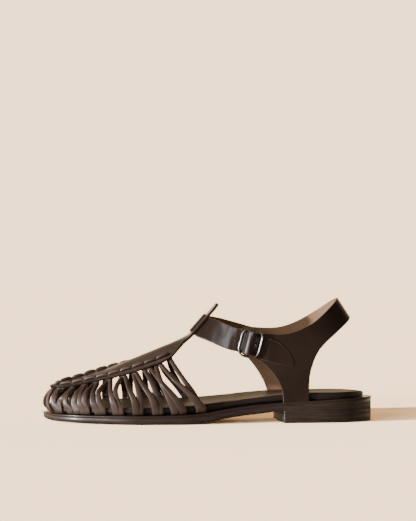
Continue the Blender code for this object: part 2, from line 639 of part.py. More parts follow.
def toe_loop():
    """The short strip that lies on the vamp's tip, ahead of the two rows."""
    path = []
    for share in np.linspace(0, 1, 7):
        x = TOE_LOOP[0] + (TOE_LOOP[1] - TOE_LOOP[0]) * share
        lift = -0.7 + 1.9 * math.sin(math.pi * share) ** 0.6
        path.append(vamp_point(x, 0.0) + vamp_normal(x, 0.0) * lift)
    sizes = [LOOP_ENDS] * 2 + [LOOP_MIDDLE] * 3 + [LOOP_ENDS] * 2
    return tube("toe loop", path, sizes, [(0, 1, 0)] * len(path), STRIP_SIDES)


def woven_strips():
    slits = np.linspace(FIRST_SLIT_X, LAST_SLIT_X, HOOPS + 1)
    pieces = [toe_loop()]
    for side in (-1, 1):
        pieces += [toe_strip(side), toe_tuck(side)]
        for front, rear, x0, x1 in zip(FRONT_LEGS, REAR_LEGS, slits, slits[1:]):
            pieces.append(strip_loop(x0, x1, side))
            pieces.append(strip_leg(x0, front, side, 0.0))
            pieces.append(strip_leg(x1, rear, side, 1.6))
            foot_x = (front.foot + rear.foot) / 2
            shift = inner_shift(foot_x) if side > 0 else 0.0
            pieces.append(strip_tuck(foot_x + shift, side,
                                     abs(rear.foot - front.foot) + STRIP_FOOT[0] * 0.72))
    return pieces


def box_in_tab(y0, y1):
    """A cutter through the tab between two distances from its middle line."""
    low, high = CROSSING_ALONG - SLIT_LENGTH / 2, CROSSING_ALONG + SLIT_LENGTH / 2
    rings = [[tab_point(low, y0, lift), tab_point(low, y1, lift),
              tab_point(high, y1, lift), tab_point(high, y0, lift)] for lift in (-SLIT_CUT, SLIT_CUT)]
    return rings_object("slit", rings, [(0, 1, 2, 3)])


def build_upper(material):
    upper = vamp_sheet(material)
    combine(upper, woven_strips(), "UNION")
    lighten(upper, UPPER_KEEP)
    combine(upper, [box_in_tab(SLIT_NEAR, SLIT_FAR), box_in_tab(-SLIT_FAR, -SLIT_NEAR)], "DIFFERENCE")
    return upper


# ---- the ankle's form ------------------------------------------------------------------------
def ankle_y(x, z, side):
    """Distance of the quarter's outer face from the middle plane."""
    name = "lateral" if side < 0 else "medial"
    wide = float(eased(column(ANKLE, "z"), column(ANKLE, name), z))
    rise = (z - SLING_FOOT[1]) / (SLING_TOP[1] - SLING_FOOT[1])
    back = SLING_FOOT[0] + (SLING_TOP[0] - SLING_FOOT[0]) * rise
    if x > ANKLE_START:
        reach = min(1.0, (x - ANKLE_START) / (back - ANKLE_START))
        wide *= (1 - reach ** ANKLE_POWER) ** (1 / ANKLE_POWER)
    else:
        wide -= ANKLE_SPREAD * (ANKLE_START - x) ** 2
    stem = abs(float(sole_edge(x, name))) - (INSOLE_SETBACK - GAP - QUARTER_WALL)
    low, high = STEM_LEVELS
    blend = min(1.0, max(0.0, (z - low) / (high - low)))
    blend = blend * blend * (3 - 2 * blend)
    return stem + (wide - stem) * blend


# ---- buckle ----------------------------------------------------------------------------------
def buckle_frame_axes():
    """Origin, direction along the strap, across it and out of the buckle's face."""
    x, z = BUCKLE_CENTRE
    y = -(ankle_y(x, z, -1) + BUCKLE_OUT)
    along = unit((math.cos(BUCKLE_TILT) * math.cos(BUCKLE_YAW), -math.sin(BUCKLE_YAW),
                  -math.sin(BUCKLE_TILT)))
    across = unit((math.sin(BUCKLE_TILT), 0, math.cos(BUCKLE_TILT)))
    across = unit(across - along * np.dot(across, along))
    return np.array([x, y, z]), along, across, np.cross(along, across)


BUCKLE = buckle_frame_axes()


def in_buckle(along, across, out):
    origin, t, w, n = BUCKLE
    return origin + t * along + w * across + n * out


def ring_tube(name, path, radius, sides, material):
    """Round wire along a closed path in the buckle's plane."""
    points, faces = [], []
    count = len(path)
    for i, here in enumerate(path):
        tangent = unit((*(path[(i + 1) % count] - path[i - 1]), 0))
        out = np.array([tangent[1], -tangent[0]])
        for k in range(sides):
            a = 2 * math.pi * k / sides
            flat = here + out * radius * math.cos(a)
            points.append(in_buckle(flat[0], flat[1], radius * math.sin(a)))
    for i in range(count):
        for k in range(sides):
            j, m = (i + 1) % count, (k + 1) % sides
            faces.append((i * sides + k, i * sides + m, j * sides + m, j * sides + k))
    return make_object(name, points, faces, material)


def build_buckle(material):
    """Rounded frame with its centre bar."""
    half_w = BUCKLE_WIDTH / 2 - BUCKLE_WIRE
    half_h = BUCKLE_HEIGHT / 2 - BUCKLE_WIRE
    flat_w, flat_h = half_w - BUCKLE_CORNER, half_h - BUCKLE_CORNER
    path = []
    for across, up, start in ((1, 1, 0), (-1, 1, 90), (-1, -1, 180), (1, -1, 270)):
        for k in range(5):
            a = math.radians(start + 90 * k / 4)
            path.append(np.array([across * flat_w + BUCKLE_CORNER * math.cos(a),
                                  up * flat_h + BUCKLE_CORNER * math.sin(a)]))
    frame = ring_tube("buckle_frame", path, BUCKLE_WIRE, 6, material)
    spans = np.linspace(-1, 1, 9)
    bar_path = [in_buckle(0, s * (half_h - 0.05), -BAR_DROP * (1 - abs(s) ** 6)) for s in spans]
    bar = tube("bar", bar_path, [(2 * BAR_WIRE, 2 * BAR_WIRE)] * 9, [BUCKLE[1]] * 9, 8)
    combine(frame, [bar], "UNION")
    return frame


def bar_circle(radius, degrees):
    return [(radius * math.cos(math.radians(a)), radius * math.sin(math.radians(a)) - BAR_DROP)
            for a in degrees]


def prong_path():
    """The prong's wire: round the bar, then out over it towards the strap's free end."""
    ring = bar_circle(BAR_WIRE + GAP + PRONG_WIRE, range(-20, -271, -25))
    return ring + PRONG_REACH


def build_prong(material):
    path = [in_buckle(t, 0, n) for t, n in prong_path()]
    sizes = [(2 * PRONG_WIRE,) * 2] * (len(path) - 1) + [(PRONG_WIRE,) * 2]
    return tube("buckle_prong", path, sizes, [BUCKLE[2]] * len(path), 6, material)


def buckle_extrusion(name, profile, half):
    """A solid from a profile of (along, out) points, as wide as the buckle's bar allows."""
    rings = [[in_buckle(t, side * half, n) for t, n in profile] for side in (-1, 1)]
    return rings_object(name, rings, [tuple(range(len(profile)))])


# ---- quarter with heel sling -----------------------------------------------------------------
def mixed_rib(before, after, share):
    return Rib(*(a + (b - a) * share for a, b in zip(before, after)))


def quarter_rows(table, side, cols):
    turn = [mixed_rib(table[-2], table[-1], share) for share in SLING_TURN]
    rows = []
    for rib in table[:-1] + turn + table[-1:]:
        row = []
        for t in np.linspace(0, 1, cols):
            x = rib.rear_x + (rib.front_x - rib.rear_x) * t
            z = rib.rear_z + (rib.front_z - rib.rear_z) * t
            row.append((x, side * ankle_y(x, z, side), z))
        rows.append(row)
    return rows


def stem_foot(table, side):
    """The lowest part of a stem: straight down to the welt, then turned in under the insole."""
    name = "lateral" if side < 0 else "medial"
    base = table[0]
    rings = []
    for x in np.linspace(base.front_x, base.rear_x, 5):
        outer = side * ankle_y(x, 10.0, side)
        inner = outer - side * QUARTER_WALL
        tuck = float(sole_edge(x, name)) - side * (INSOLE_SETBACK + TUCK_DEPTH)
        floor = float(height("seat", x)) + GAP
        share = (x - base.front_x) / (base.rear_x - base.front_x)
        top = base.front_z + (base.rear_z - base.front_z) * share + 1.2
        rings.append([(x, outer, floor), (x, outer, top), (x, inner, top),
                      (x, inner, floor + TUCK_THICKNESS), (x, tuck, floor + TUCK_THICKNESS),
                      (x, tuck, floor)])
    return rings_object("stem foot", rings, [(0, 1, 2, 3, 4, 5)])


def build_quarter(material):
    lateral = quarter_rows(QUARTER_LATERAL, -1, 8)
    medial = quarter_rows(QUARTER_MEDIAL, 1, 8)
    rows = lateral + medial[-2::-1]
    quarter = sheet("quarter", rows, QUARTER_WALL, material)
    feet = [stem_foot(QUARTER_LATERAL, -1), stem_foot(QUARTER_MEDIAL, 1)]
    fold = bar_circle(BAR_WIRE + GAP + LOOP_WALL, range(0, 211, 30))
    fold += FOLD_TAIL
    combine(quarter, feet + [buckle_extrusion("fold", fold, LOOP_HALF)], "UNION")
    bore = buckle_extrusion("bore", bar_circle(BAR_WIRE + GAP, range(0, 360, 36)), LOOP_HALF + 2)
    combine(quarter, [bore, buckle_extrusion("slot", PRONG_SLOT, PRONG_WIRE + 0.45)], "DIFFERENCE")
    return quarter


# ---- ankle strap -----------------------------------------------------------------------------
def strap_rows():
    """Centre, width direction and half width of the strap, from its medial end to its free tip."""
    def side_run(table):
        pts = refine([(r.x, r.y, r.z, r.lean) for r in table], 3)
        return [(p[:3], p[3]) for p in pts]

    lean = math.degrees(TAB_ANGLE)
    crossing = [(tab_point(CROSSING_ALONG, y, lift), lean) for y, lift in reversed(CROSSING)]
    crossing += [(tab_point(CROSSING_ALONG, -y, lift), lean) for y, lift in CROSSING[1:]]
    rows = list(reversed(side_run(STRAP_MEDIAL))) + crossing + side_run(STRAP_LATERAL)
    rows = [(p, a, STRAP_WIDTH / 2) for p, a in rows]
    steep = 90 - math.degrees(BUCKLE_TILT)
    for row in BUCKLE_LIFT:
        rows.append((in_buckle(row.along, 0, row.height), steep, STRAP_WIDTH / 2))
    for row in STRAP_END:
        y = -(ankle_y(row.x, row.z, -1) + GAP + STRAP_THICKNESS / 2 + 0.15)
        rows.append((np.array([row.x, y, row.z]), steep - 3, row.half_width))
    return rows


def build_strap(material):
    rows = strap_rows()
    centres = np.array([r[0] for r in rows])
    tangents = np.gradient(centres, axis=0)
    rings = []
    for (p, lean, half), t in zip(rows, tangents):
        t = unit(t)
        w = np.array([math.cos(math.radians(lean)), 0, math.sin(math.radians(lean))])
        w = unit(w - t * np.dot(w, t))
        n = np.cross(t, w)
        rings.append([p + w * half * a + n * (STRAP_THICKNESS / 2 * b)
                      for a, b in ((-1, -1), (1, -1), (1, 1), (-1, 1))])
    strap = rings_object("ankle_strap", rings, [(0, 1, 2, 3)], material)
    pin = [in_buckle(t, 0, n) for t, n in prong_path()[-5:]]
    pin[0] = in_buckle(0.6, 0, 0.5)
    pin.append(in_buckle(7.0, 0, 1.1))
    hole = [(2 * (PRONG_WIRE + PRONG_PLAY),) * 2] * len(pin)
    combine(strap, [tube("hole", pin, hole, [BUCKLE[2]] * len(pin), 8)], "DIFFERENCE")
    return strap


# ---- the shoe --------------------------------------------------------------------------------
def build_sandal():
    clear_scene()
    dark = finish("dark leather", (0.032, 0.019, 0.014), 0.35)
    sole_dark = finish("sole leather", (0.036, 0.024, 0.019), 0.4)
    bed = finish("insole leather", (0.13, 0.08, 0.052), 0.55)
    metal = finish("buckle metal", (0.35, 0.34, 0.33), 0.22, 1.0)
    sole_layer("outsole", [(3.0, "ground", 0.0), (1.2, "ground", 0.5),
                           (OUTSOLE_SETBACK, "ground", 1.8),
                           (OUTSOLE_SETBACK, "seat", -WELT_THICKNESS - GAP)], sole_dark)
    sole_layer("welt", [(0.35, "seat", -WELT_THICKNESS), (0.0, "seat", -WELT_THICKNESS + 0.4),
                        (0.0, "seat", -0.4), (0.4, "seat", 0.0)], sole_dark)
    sole_layer("insole", [(INSOLE_SETBACK + REBATE_DEPTH, "seat", GAP),
                          (INSOLE_SETBACK + REBATE_DEPTH, "seat", REBATE_HEIGHT),
                          (INSOLE_SETBACK, "seat", REBATE_HEIGHT),
                          (INSOLE_SETBACK, "bed", -0.9), (INSOLE_SETBACK + 0.4, "bed", -0.3),
                          (INSOLE_SETBACK + 1.3, "bed", 0.0)], bed)
    heel_block(sole_dark)
    build_upper(dark)
    build_quarter(dark)
    build_strap(dark)
    build_buckle(metal)
    build_prong(metal)


build_sandal()
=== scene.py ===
# %% [markdown]
# # A woven T-strap sandal, dressed for its portrait
# The shoe's working model comes in as a fixed frame: nine solids, each where it belongs. This file
# leaves them there and puts a finer surface on each one: rounded leather edges, rolled strips, a lining,
# a welt, a polished buckle. Lengths are in millimetres, as a shoemaker thinks, and become metres, as
# Blender thinks, only when a mesh is made.

import bmesh
import bpy
import numpy as np
from collections import namedtuple
from math import ceil, cos, degrees, pi, radians, sin
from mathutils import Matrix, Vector


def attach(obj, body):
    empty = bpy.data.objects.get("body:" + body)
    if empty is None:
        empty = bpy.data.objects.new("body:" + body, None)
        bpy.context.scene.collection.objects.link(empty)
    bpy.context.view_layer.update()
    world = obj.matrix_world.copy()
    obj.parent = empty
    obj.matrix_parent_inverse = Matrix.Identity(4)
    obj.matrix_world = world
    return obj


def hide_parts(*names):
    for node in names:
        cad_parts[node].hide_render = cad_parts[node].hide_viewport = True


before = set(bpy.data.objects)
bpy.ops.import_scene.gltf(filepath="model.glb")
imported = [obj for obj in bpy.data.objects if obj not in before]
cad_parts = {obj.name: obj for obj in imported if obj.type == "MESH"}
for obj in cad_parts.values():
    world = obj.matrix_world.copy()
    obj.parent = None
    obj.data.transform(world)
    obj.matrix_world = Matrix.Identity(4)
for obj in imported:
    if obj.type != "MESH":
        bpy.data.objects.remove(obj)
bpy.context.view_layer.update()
MM = 0.001
print("solids:", ", ".join(sorted(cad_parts)))

# %% [markdown]
# ## The camera
# The sandal is looked at from its outer side, a little from the toe, by a camera that stands low and
# level. A long lens from 1.66 m away keeps the perspective gentle. Tilting the camera down would be
# easier to aim, but upright edges would then lean, so the lens is shifted instead.

# %% Camera
CAMERA_TURN = radians(4.0)
CAMERA_AWAY, CAMERA_HEIGHT = 1.66, 0.128
LENS, SENSOR, SHIFT = 145.4, 36.0, (0.0019, -0.0043)


def put_in_scene(name, data):
    thing = bpy.data.objects.new(name, data)
    bpy.context.scene.collection.objects.link(thing)
    return thing


lens = bpy.data.cameras.new("portrait_camera")
lens.sensor_width, lens.lens = SENSOR, LENS
lens.shift_x, lens.shift_y = SHIFT
camera = put_in_scene("portrait_camera", lens)
camera.location = (-CAMERA_AWAY * sin(CAMERA_TURN), -CAMERA_AWAY * cos(CAMERA_TURN), CAMERA_HEIGHT)
camera.rotation_euler = (radians(90.0), 0.0, -CAMERA_TURN)
bpy.context.scene.camera = camera
print("camera at", [round(c, 3) for c in camera.location])

# %% [markdown]
# ## Curves from short tables
# A last, the wooden foot that a shoe is built on, has no flat sides: its outline is a few measured
# stations with smooth curves between them. `easing` turns a table's two columns into such a curve. It is
# a monotone cubic, which never swings past the measured values, so a sole doesn't grow bumps between
# stations. `refine` runs a softer curve through points in space, for straps.

# %% Curve helpers
def floats(v):
    return np.array(v, float)


def unit(v):
    v = floats(v)
    return v / np.linalg.norm(v, axis=-1, keepdims=True)


def easing(keys, values):
    """A function that follows values over keys: smooth, and never past the table's own rows."""
    keys, values = floats(keys), floats(values)
    step = np.diff(keys)
    slope = np.diff(values) / step
    tangent = np.zeros(len(keys))
    tangent[0], tangent[-1] = slope[0], slope[-1]
    for i in range(1, len(keys) - 1):
        if slope[i - 1] * slope[i] > 0:
            a, b = 2 * step[i] + step[i - 1], step[i] + 2 * step[i - 1]
            tangent[i] = (a + b) / (a / slope[i - 1] + b / slope[i])

    def follow(at):
        at = np.clip(floats(at), keys[0], keys[-1])
        i = np.clip(np.searchsorted(keys, at, side="right") - 1, 0, len(keys) - 2)
        t = (at - keys[i]) / step[i]
        return ((1 + 2 * t) * (1 - t) ** 2 * values[i] + t * (1 - t) ** 2 * step[i] * tangent[i]
                + t * t * (3 - 2 * t) * values[i + 1] - t * t * (1 - t) * step[i] * tangent[i + 1])
    return follow


def rows_of(kind, *rows):
    """A table: each row of numbers gets its columns' names."""
    return [kind(*row) for row in rows]


def table_curve(table, name, key="x"):
    return easing([getattr(row, key) for row in table], [getattr(row, name) for row in table])


def refine(points, per_span):
    """A soft curve through points, with per_span steps between each two."""
    pts = floats(points)
    pts = np.vstack([2 * pts[0] - pts[1], pts, 2 * pts[-1] - pts[-2]])
    out = []
    for a, b, c, d in zip(pts, pts[1:], pts[2:], pts[3:]):
        for k in range(per_span):
            t = k / per_span
            out.append(0.5 * (2 * b + (c - a) * t + (2 * a - 5 * b + 4 * c - d) * t ** 2
                              + (3 * b - a - 3 * c + d) * t ** 3))
    out.append(pts[-2])
    return np.array(out)


def smoothstep(low, high, at):
    t = np.clip((floats(at) - low) / (high - low), 0, 1)
    return t * t * (3 - 2 * t)


print("a curve from 0 to 10, halfway:", float(easing([0, 1], [0, 10])(0.5)))

# %% [markdown]
# ## Meshes from rings and walls
# Three helpers make nearly every piece. `loft` stretches faces over a row of closed rings, for the layers
# of the sole. `rolled_rings` draws a soft oval along a curve, for strips and wire. `wall` gives a sheet of
# leather its thickness: from a grid of points on the outer face it builds the inner face and a rounded
# edge between them. Blender's Solidify and Bevel could do the same, but a bevel that meets a very narrow
# tip thins out everywhere, and here each edge keeps its own radius. The outer face, the edge and the
# inner face get their own materials, because a cut edge is inked and the inside lined. The inked edge
# is also paler than the calf, as painted highlight for the light that a rounded edge catches.

# %% Mesh helpers
def round_off(mesh, sharp=40.0):
    """Shades smoothly, except over edges sharper than this angle."""
    mesh.shade_smooth()
    mesh.set_sharp_from_angle(angle=radians(sharp))


def make_piece(name, points, faces, materials, indices=None, sharp=40.0):
    """One object from points in millimetres. Face directions are made to agree and to look outward."""
    mesh = bpy.data.meshes.new(name)
    mesh.from_pydata((floats(points) * MM).tolist(), [], faces)
    for material in materials:
        mesh.materials.append(material)
    if indices is not None:
        mesh.polygons.foreach_set("material_index", indices)
    work = bmesh.new()
    work.from_mesh(mesh)
    bmesh.ops.recalc_face_normals(work, faces=work.faces)
    work.to_mesh(mesh)
    work.free()
    round_off(mesh, sharp)
    return put_in_scene(name, mesh)


def skin_faces(rings, count):
    return [(r + i, r + (i + 1) % count, r + count + (i + 1) % count, r + count + i)
            for r in range(0, (rings - 1) * count, count) for i in range(count)]


def loft(rings):
    return [p for ring in rings for p in ring], skin_faces(len(rings), len(rings[0]))


def cap_fan(points, faces, ring, middle):
    """Closes a ring with a fan round a middle point."""
    hub = len(points)
    points.append(middle)
    faces += [(a, b, hub) for a, b in zip(ring, ring[1:] + ring[:1])]


def rim_of(rows, cols):
    """The grid's outer points, once round."""
    rim = [(0, j) for j in range(cols)] + [(i, cols - 1) for i in range(1, rows)]
    rim += [(rows - 1, j) for j in range(cols - 2, -1, -1)]
    return rim + [(i, 0) for i in range(rows - 2, 0, -1)]


ROUND_STEPS = 4


def wall(name, grid, thickness, radius, materials, lift=None):
    """Leather of one thickness behind a grid of outer points, its edge rounded by radius.
    materials are for the outer face, the edge and the inner face; lift moves outer points out."""
    grid = floats(grid)
    normal = unit(np.cross(np.gradient(grid, axis=0), np.gradient(grid, axis=1)))
    rows, cols = grid.shape[:2]
    outer = grid if lift is None else grid + normal * lift[..., None]
    inner = grid - normal * thickness
    rim = rim_of(rows, cols)
    inward = []
    for n, (i, j) in enumerate(rim):
        edge = unit(grid[rim[(n + 1) % len(rim)]] - grid[rim[n - 1]])
        nearest = (min(max(i, 1), rows - 2), j), (i, min(max(j, 1), cols - 2))
        steps = [grid[spot] - grid[i, j] for spot in nearest if spot != (i, j)]
        room = min(float(np.linalg.norm(np.cross(s, edge))) for s in steps)
        inward.append((sum(unit(s) for s in steps), min(radius, 0.6 * room, 0.48 * thickness)))
    sheets = np.array([outer, inner])
    for (i, j), (way, r) in zip(rim, inward):
        sheets[:, i, j] += way * r
    points = list(sheets.reshape(-1, 3))
    half = rows * cols
    faces, indices = [], []
    for row in range(0, half - cols, cols):
        for a in range(row, row + cols - 1):
            quad = (a, a + 1, a + cols + 1, a + cols)
            faces += [quad, tuple(half + k for k in reversed(quad))]
            indices += [0, 2]
    bands = [[i * cols + j for i, j in rim]]
    turns = np.linspace(0, pi / 2, ROUND_STEPS + 1)[1:]
    for face, side in ((outer, 1), (inner, -1)):
        for turn in (turns if side > 0 else turns[::-1]):
            band = []
            for (i, j), (way, r) in zip(rim, inward):
                inset, depth = r * (1 - sin(turn)), r * (1 - cos(turn))
                band.append(len(points))
                points.append(face[i, j] + way * inset - normal[i, j] * (depth * side))
            bands.append(band)
    bands.append([half + i * cols + j for i, j in rim])
    for near, far in zip(bands, bands[1:]):
        faces += zip(near[1:] + near[:1], near, far, far[1:] + far[:1])
    indices += [1] * (len(faces) - len(indices))
    return make_piece(name, points, faces, materials, indices)


def rolled_rings(path, wide, thick, across, sides, power):
    """A rolled strip along a path: across is the direction of its width, and power squares the oval
    off, from 2 for round to 4 for nearly flat. Widths, thicknesses and directions may change on the way."""
    path = floats(path)
    tangents = unit(np.gradient(path, axis=0))
    wide, thick = (np.broadcast_to(size, len(path)) for size in (wide, thick))
    angles = np.arange(sides) * 2 * pi / sides
    oval = [np.sign(c) * np.abs(c) ** (2 / power) for c in (np.cos(angles), np.sin(angles))]
    points = []
    for p, t, width, depth, side in zip(path, tangents, wide, thick, np.broadcast_to(across, path.shape)):
        w = unit(side - t * np.dot(side, t))
        n = np.cross(t, w)
        points += [p + w * (width / 2 * a) + n * (depth / 2 * b) for a, b in zip(*oval)]
    faces = skin_faces(len(path), sides)
    last = (len(path) - 1) * sides
    cap_fan(points, faces, list(range(sides)), path[0])
    cap_fan(points, faces, list(range(last, last + sides)), path[-1])
    return points, faces


def seat_piece(piece, node=None):
    """Every piece rides on the shoe's one body; the working model's solid named node, if given, is hidden.
    """
    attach(piece, "root")
    if node:
        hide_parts(node)
    print(f"{piece.name}: {len(piece.data.polygons)} faces")
    return piece


print("mesh helpers ready")

# %% [markdown]
# ## Finishes
# Calf leather is dyed, waxed and polished: its colour drifts a little over a centimetre or two, a fine
# grain breaks up the shine, and the wax lies over it as a thin clear coat. The vamp's leaf and the woven
# strips are paler than the smooth straps. On the leaf the paler colour is partly painted sheen, standing
# in for the soft light that the leaf catches from behind. Each finish is built from noise in the
# object's own coordinates, so the pattern sits in the leather. The alternative, an unwrapped image,
# would need a seam somewhere.

# %% Materials
def link(out_node, out_name, in_node, in_name):
    out_node.id_data.links.new(out_node.outputs[out_name], in_node.inputs[in_name])


def empty_tree(owner):
    owner.use_nodes = True
    owner.node_tree.nodes.clear()
    return owner.node_tree


def add_node(tree, kind, **sockets):
    """A node, with values for its sockets; an underscore stands for the space in a name."""
    node = tree.nodes.new("ShaderNode" + kind)
    for name, value in sockets.items():
        node.inputs[name.replace("_", " ")].default_value = value
    return node


def noise(tree, coords, scale, detail, stretch=(1, 1, 1)):
    spread = add_node(tree, "Mapping", Scale=stretch)
    link(coords, "Object", spread, "Vector")
    node = add_node(tree, "TexNoise", Scale=scale, Detail=detail)
    link(spread, "Vector", node, "Vector")
    return node


def ramp(tree, source, stops):
    node = add_node(tree, "ValToRGB")
    link(source, "Fac", node, "Fac")
    while len(node.color_ramp.elements) < len(stops):
        node.color_ramp.elements.new(0.5)
    for element, (place, colour) in zip(node.color_ramp.elements, stops):
        element.position = place
        element.color = (*colour, 1.0)
    return node


COAT_ROUGHNESS = 0.18
GRAIN_DEPTH = 0.12 * MM


def finish(name, colour, drift, patch, roughness, coat=0.0, grain=0.3, grain_scale=1500.0,
           stretch=(1, 1, 1), metallic=0.0, shine=0.28):
    """A material from one colour: drift darkens and lightens it in patches, patch per metre."""
    material = bpy.data.materials.new(name)
    material.use_nodes = True
    tree = material.node_tree
    shader = tree.nodes["Principled BSDF"]
    for socket, value in (("Metallic", metallic), ("Roughness", roughness), ("Coat Weight", coat),
                          ("Coat Roughness", COAT_ROUGHNESS), ("Specular IOR Level", shine)):
        shader.inputs[socket].default_value = value
    coords = add_node(tree, "TexCoord")
    cloud = noise(tree, coords, patch, 4.0, stretch)
    colour = np.array(colour)
    tones = ramp(tree, cloud, [(0.32, colour * (1 - drift)), (0.5, colour), (0.68, colour * (1 + drift))])
    link(tones, "Color", shader, "Base Color")
    if grain:
        fine = noise(tree, coords, grain_scale, 2.0)
        bump = add_node(tree, "Bump", Strength=grain, Distance=GRAIN_DEPTH)
        link(fine, "Fac", bump, "Height")
        link(bump, "Normal", shader, "Normal")
    material.diffuse_color = (*colour, 1.0)
    return material


CALF = finish("dark_calf", (0.023, 0.0128, 0.0092), 0.2, 38.0, 0.3, 0.08)
# Paler than the calf: partly painted sheen for the light that the leaf catches from behind.
VAMP_CALF_AND_SHEEN = finish("vamp_calf_and_painted_sheen", (0.06, 0.039, 0.028), 0.2, 38.0, 0.34, 0.1, shine=0.4)
STRIP_CALF = finish("strip_calf", (0.074, 0.046, 0.035), 0.25, 60.0, 0.42, 0.06)
# Inked, and paler than the calf: painted highlight for the light that a rounded edge catches.
EDGE_INK_AND_HIGHLIGHT = finish("inked_edge_and_painted_highlight", (0.07, 0.043, 0.032), 0.2, 60.0, 0.4, 0.1)
LINING = finish("tan_lining", (0.29, 0.17, 0.095), 0.16, 30.0, 0.6, 0.0, 0.25)
# A darker copy of the tan lining: painted shade on the strap's inner side.
SHADED_STRAP_LINING = finish("strap_lining_painted_shade", (0.24, 0.14, 0.078), 0.16, 30.0, 0.55, 0.0, 0.25)
INSOLE = finish("insole_leather", (0.17, 0.11, 0.065), 0.2, 24.0, 0.5, 0.0, 0.3)
# Near black: ink on the rim, and painted shade for the shadow under its shelf.
RIM = finish("inked_insole_rim_and_painted_shade", (0.02, 0.013, 0.010), 0.2, 40.0, 0.5, 0.0, 0.3)
WELT = finish("waxed_welt", (0.04, 0.024, 0.019), 0.2, 50.0, 0.34, 0.3)
SOLE = finish("inked_sole_edge", (0.038, 0.024, 0.019), 0.3, 60.0, 0.4, 0.2, 0.4, 900.0, (1, 1, 14))
HEEL = finish("stacked_heel", (0.036, 0.023, 0.018), 0.35, 60.0, 0.42, 0.15, 0.4, 900.0, (1, 1, 16))
NICKEL = finish("dark_nickel", (0.30, 0.29, 0.285), 0.06, 90.0, 0.26, 0.0, 0.0, metallic=1.0, shine=0.5)
LEATHER_SET = [CALF, EDGE_INK_AND_HIGHLIGHT, LINING]
VAMP_SET = [VAMP_CALF_AND_SHEEN, CALF, LINING]
# The strap's inner face takes the darker lining copy, which is painted shade.
STRAP_SET = [CALF, EDGE_INK_AND_HIGHLIGHT, SHADED_STRAP_LINING]
print("finishes:", ", ".join(m.name for m in bpy.data.materials))

# %% [markdown]
# ## The sole
# The plan of the sole is the last seen from above, wider at the ball and swinging inward at the toe. A
# table gives the edge on both sides. Steps are even in an angle that runs half a turn from toe to heel,
# so that they crowd together at the round ends, where an even step in x would leave corners.

# %% The sole's plan and heights
WELT_THICKNESS = 1.5
OUTSOLE_SETBACK = 0.4
INSOLE_SETBACK = 5.1
REBATE_HEIGHT = 1.9
REBATE_DEPTH = 6.3
BED_TILT = 0.035
HEEL_SWELL, SWELL_FROM = 1.5, 104.0     # the heel's end swells backward, from this x on
HEEL_JOIN = (52.0, 60.0)                # where the outsole's edge becomes flush with the heel
TILT_FADE, REBATE_FADE = (30.0, 75.0), (77.0, 88.0)
REBATE_END = 0.35
SOLE_STEPS = 110

Plan = namedtuple("Plan", "x lateral medial")
SOLE_PLAN = rows_of(
    Plan, (-129, 8, 8), (-126.8, -3.2, 18.4), (-121, -14.6, 26.2), (-111, -25.6, 33),
    (-96, -35.2, 38.8), (-76, -42.6, 42.6), (-55, -46.2, 43.6), (-28, -46, 38.6), (0, -41.4, 31.2),
    (30, -35.6, 26.8), (60, -32.7, 26.8), (88, -31.4, 28.4), (108, -27.2, 26.4), (121, -17.8, 18),
    (127, -8.4, 8.8), (129, 0.4, 0.4))
Height = namedtuple("Height", "x ground seat bed")     # underside, welt top, insole top
HEIGHTS = rows_of(
    Height, (-129, 2.4, 7.5, 14.2), (-122, 1.3, 7.1, 14), (-110, 1.1, 7, 13.9), (-88, 0.8, 7, 14),
    (-68, 0.4, 7, 14.1), (-50, 0, 7, 14.3), (-14, 0, 7.7, 15.7), (0, 1.8, 9.2, 17.1),
    (14, 4.5, 11.5, 18.6), (34, 6.9, 13.9, 20.9), (58, 9.4, 15.8, 22.8), (80, 10.7, 17, 23.4),
    (105, 11.9, 18.3, 23.5), (129, 12.8, 19.3, 22.9))
SIDES = {-1: "lateral", 1: "medial"}    # outer and inner side of the foot, by the sign of y
TOE_X, HEEL_X = SOLE_PLAN[0].x, SOLE_PLAN[-1].x
height = {name: table_curve(HEIGHTS, name) for name in ("ground", "seat", "bed")}


def sole_turn(x):
    return np.arccos(np.clip(1 - 2 * (floats(x) - TOE_X) / (HEEL_X - TOE_X), -1, 1))


PLAN_TURNS = sole_turn([row.x for row in SOLE_PLAN])
plan_edge = {side: easing(PLAN_TURNS, [getattr(row, name) for row in SOLE_PLAN])
             for side, name in SIDES.items()}


def sole_edge(x, side):
    return plan_edge[side](sole_turn(x))


def seat_at(x):
    return float(height["seat"](x))


def sole_loop(setback, heel_setback=None):
    """Closed plan of the sole, moved inward: toe, outer side, heel, inner side. heel_setback
    takes over from setback at the heel."""
    x = TOE_X + (HEEL_X - TOE_X) * (1 - np.cos(np.linspace(0, pi, SOLE_STEPS + 1))) / 2
    outer, inner = (np.column_stack([x, sole_edge(x, side)]) for side in SIDES)
    loop = np.vstack([outer, inner[-2:0:-1]])
    ahead = np.roll(loop, -1, axis=0) - np.roll(loop, 1, axis=0)
    under_insole = setback < INSOLE_SETBACK
    if heel_setback is not None:
        at_heel = smoothstep(*HEEL_JOIN, loop[:, :1])
        setback = setback * (1 - at_heel) + heel_setback * at_heel
    loop = loop + unit(np.column_stack([-ahead[:, 1], ahead[:, 0]])) * setback
    if under_insole:
        loop[:, 0] += HEEL_SWELL * smoothstep(SWELL_FROM, HEEL_X, loop[:, 0])
    return loop


def layer_ring(setback, level, offset):
    loop = sole_loop(setback, OUTSOLE_SETBACK if level == "ground" else None)
    x, y = loop.T
    slope = BED_TILT * (1 - smoothstep(*TILT_FADE, x)) if level == "bed" else 0.0
    offset = offset(x) if callable(offset) else offset
    return np.column_stack([loop, height[level](x) + offset + slope * y])


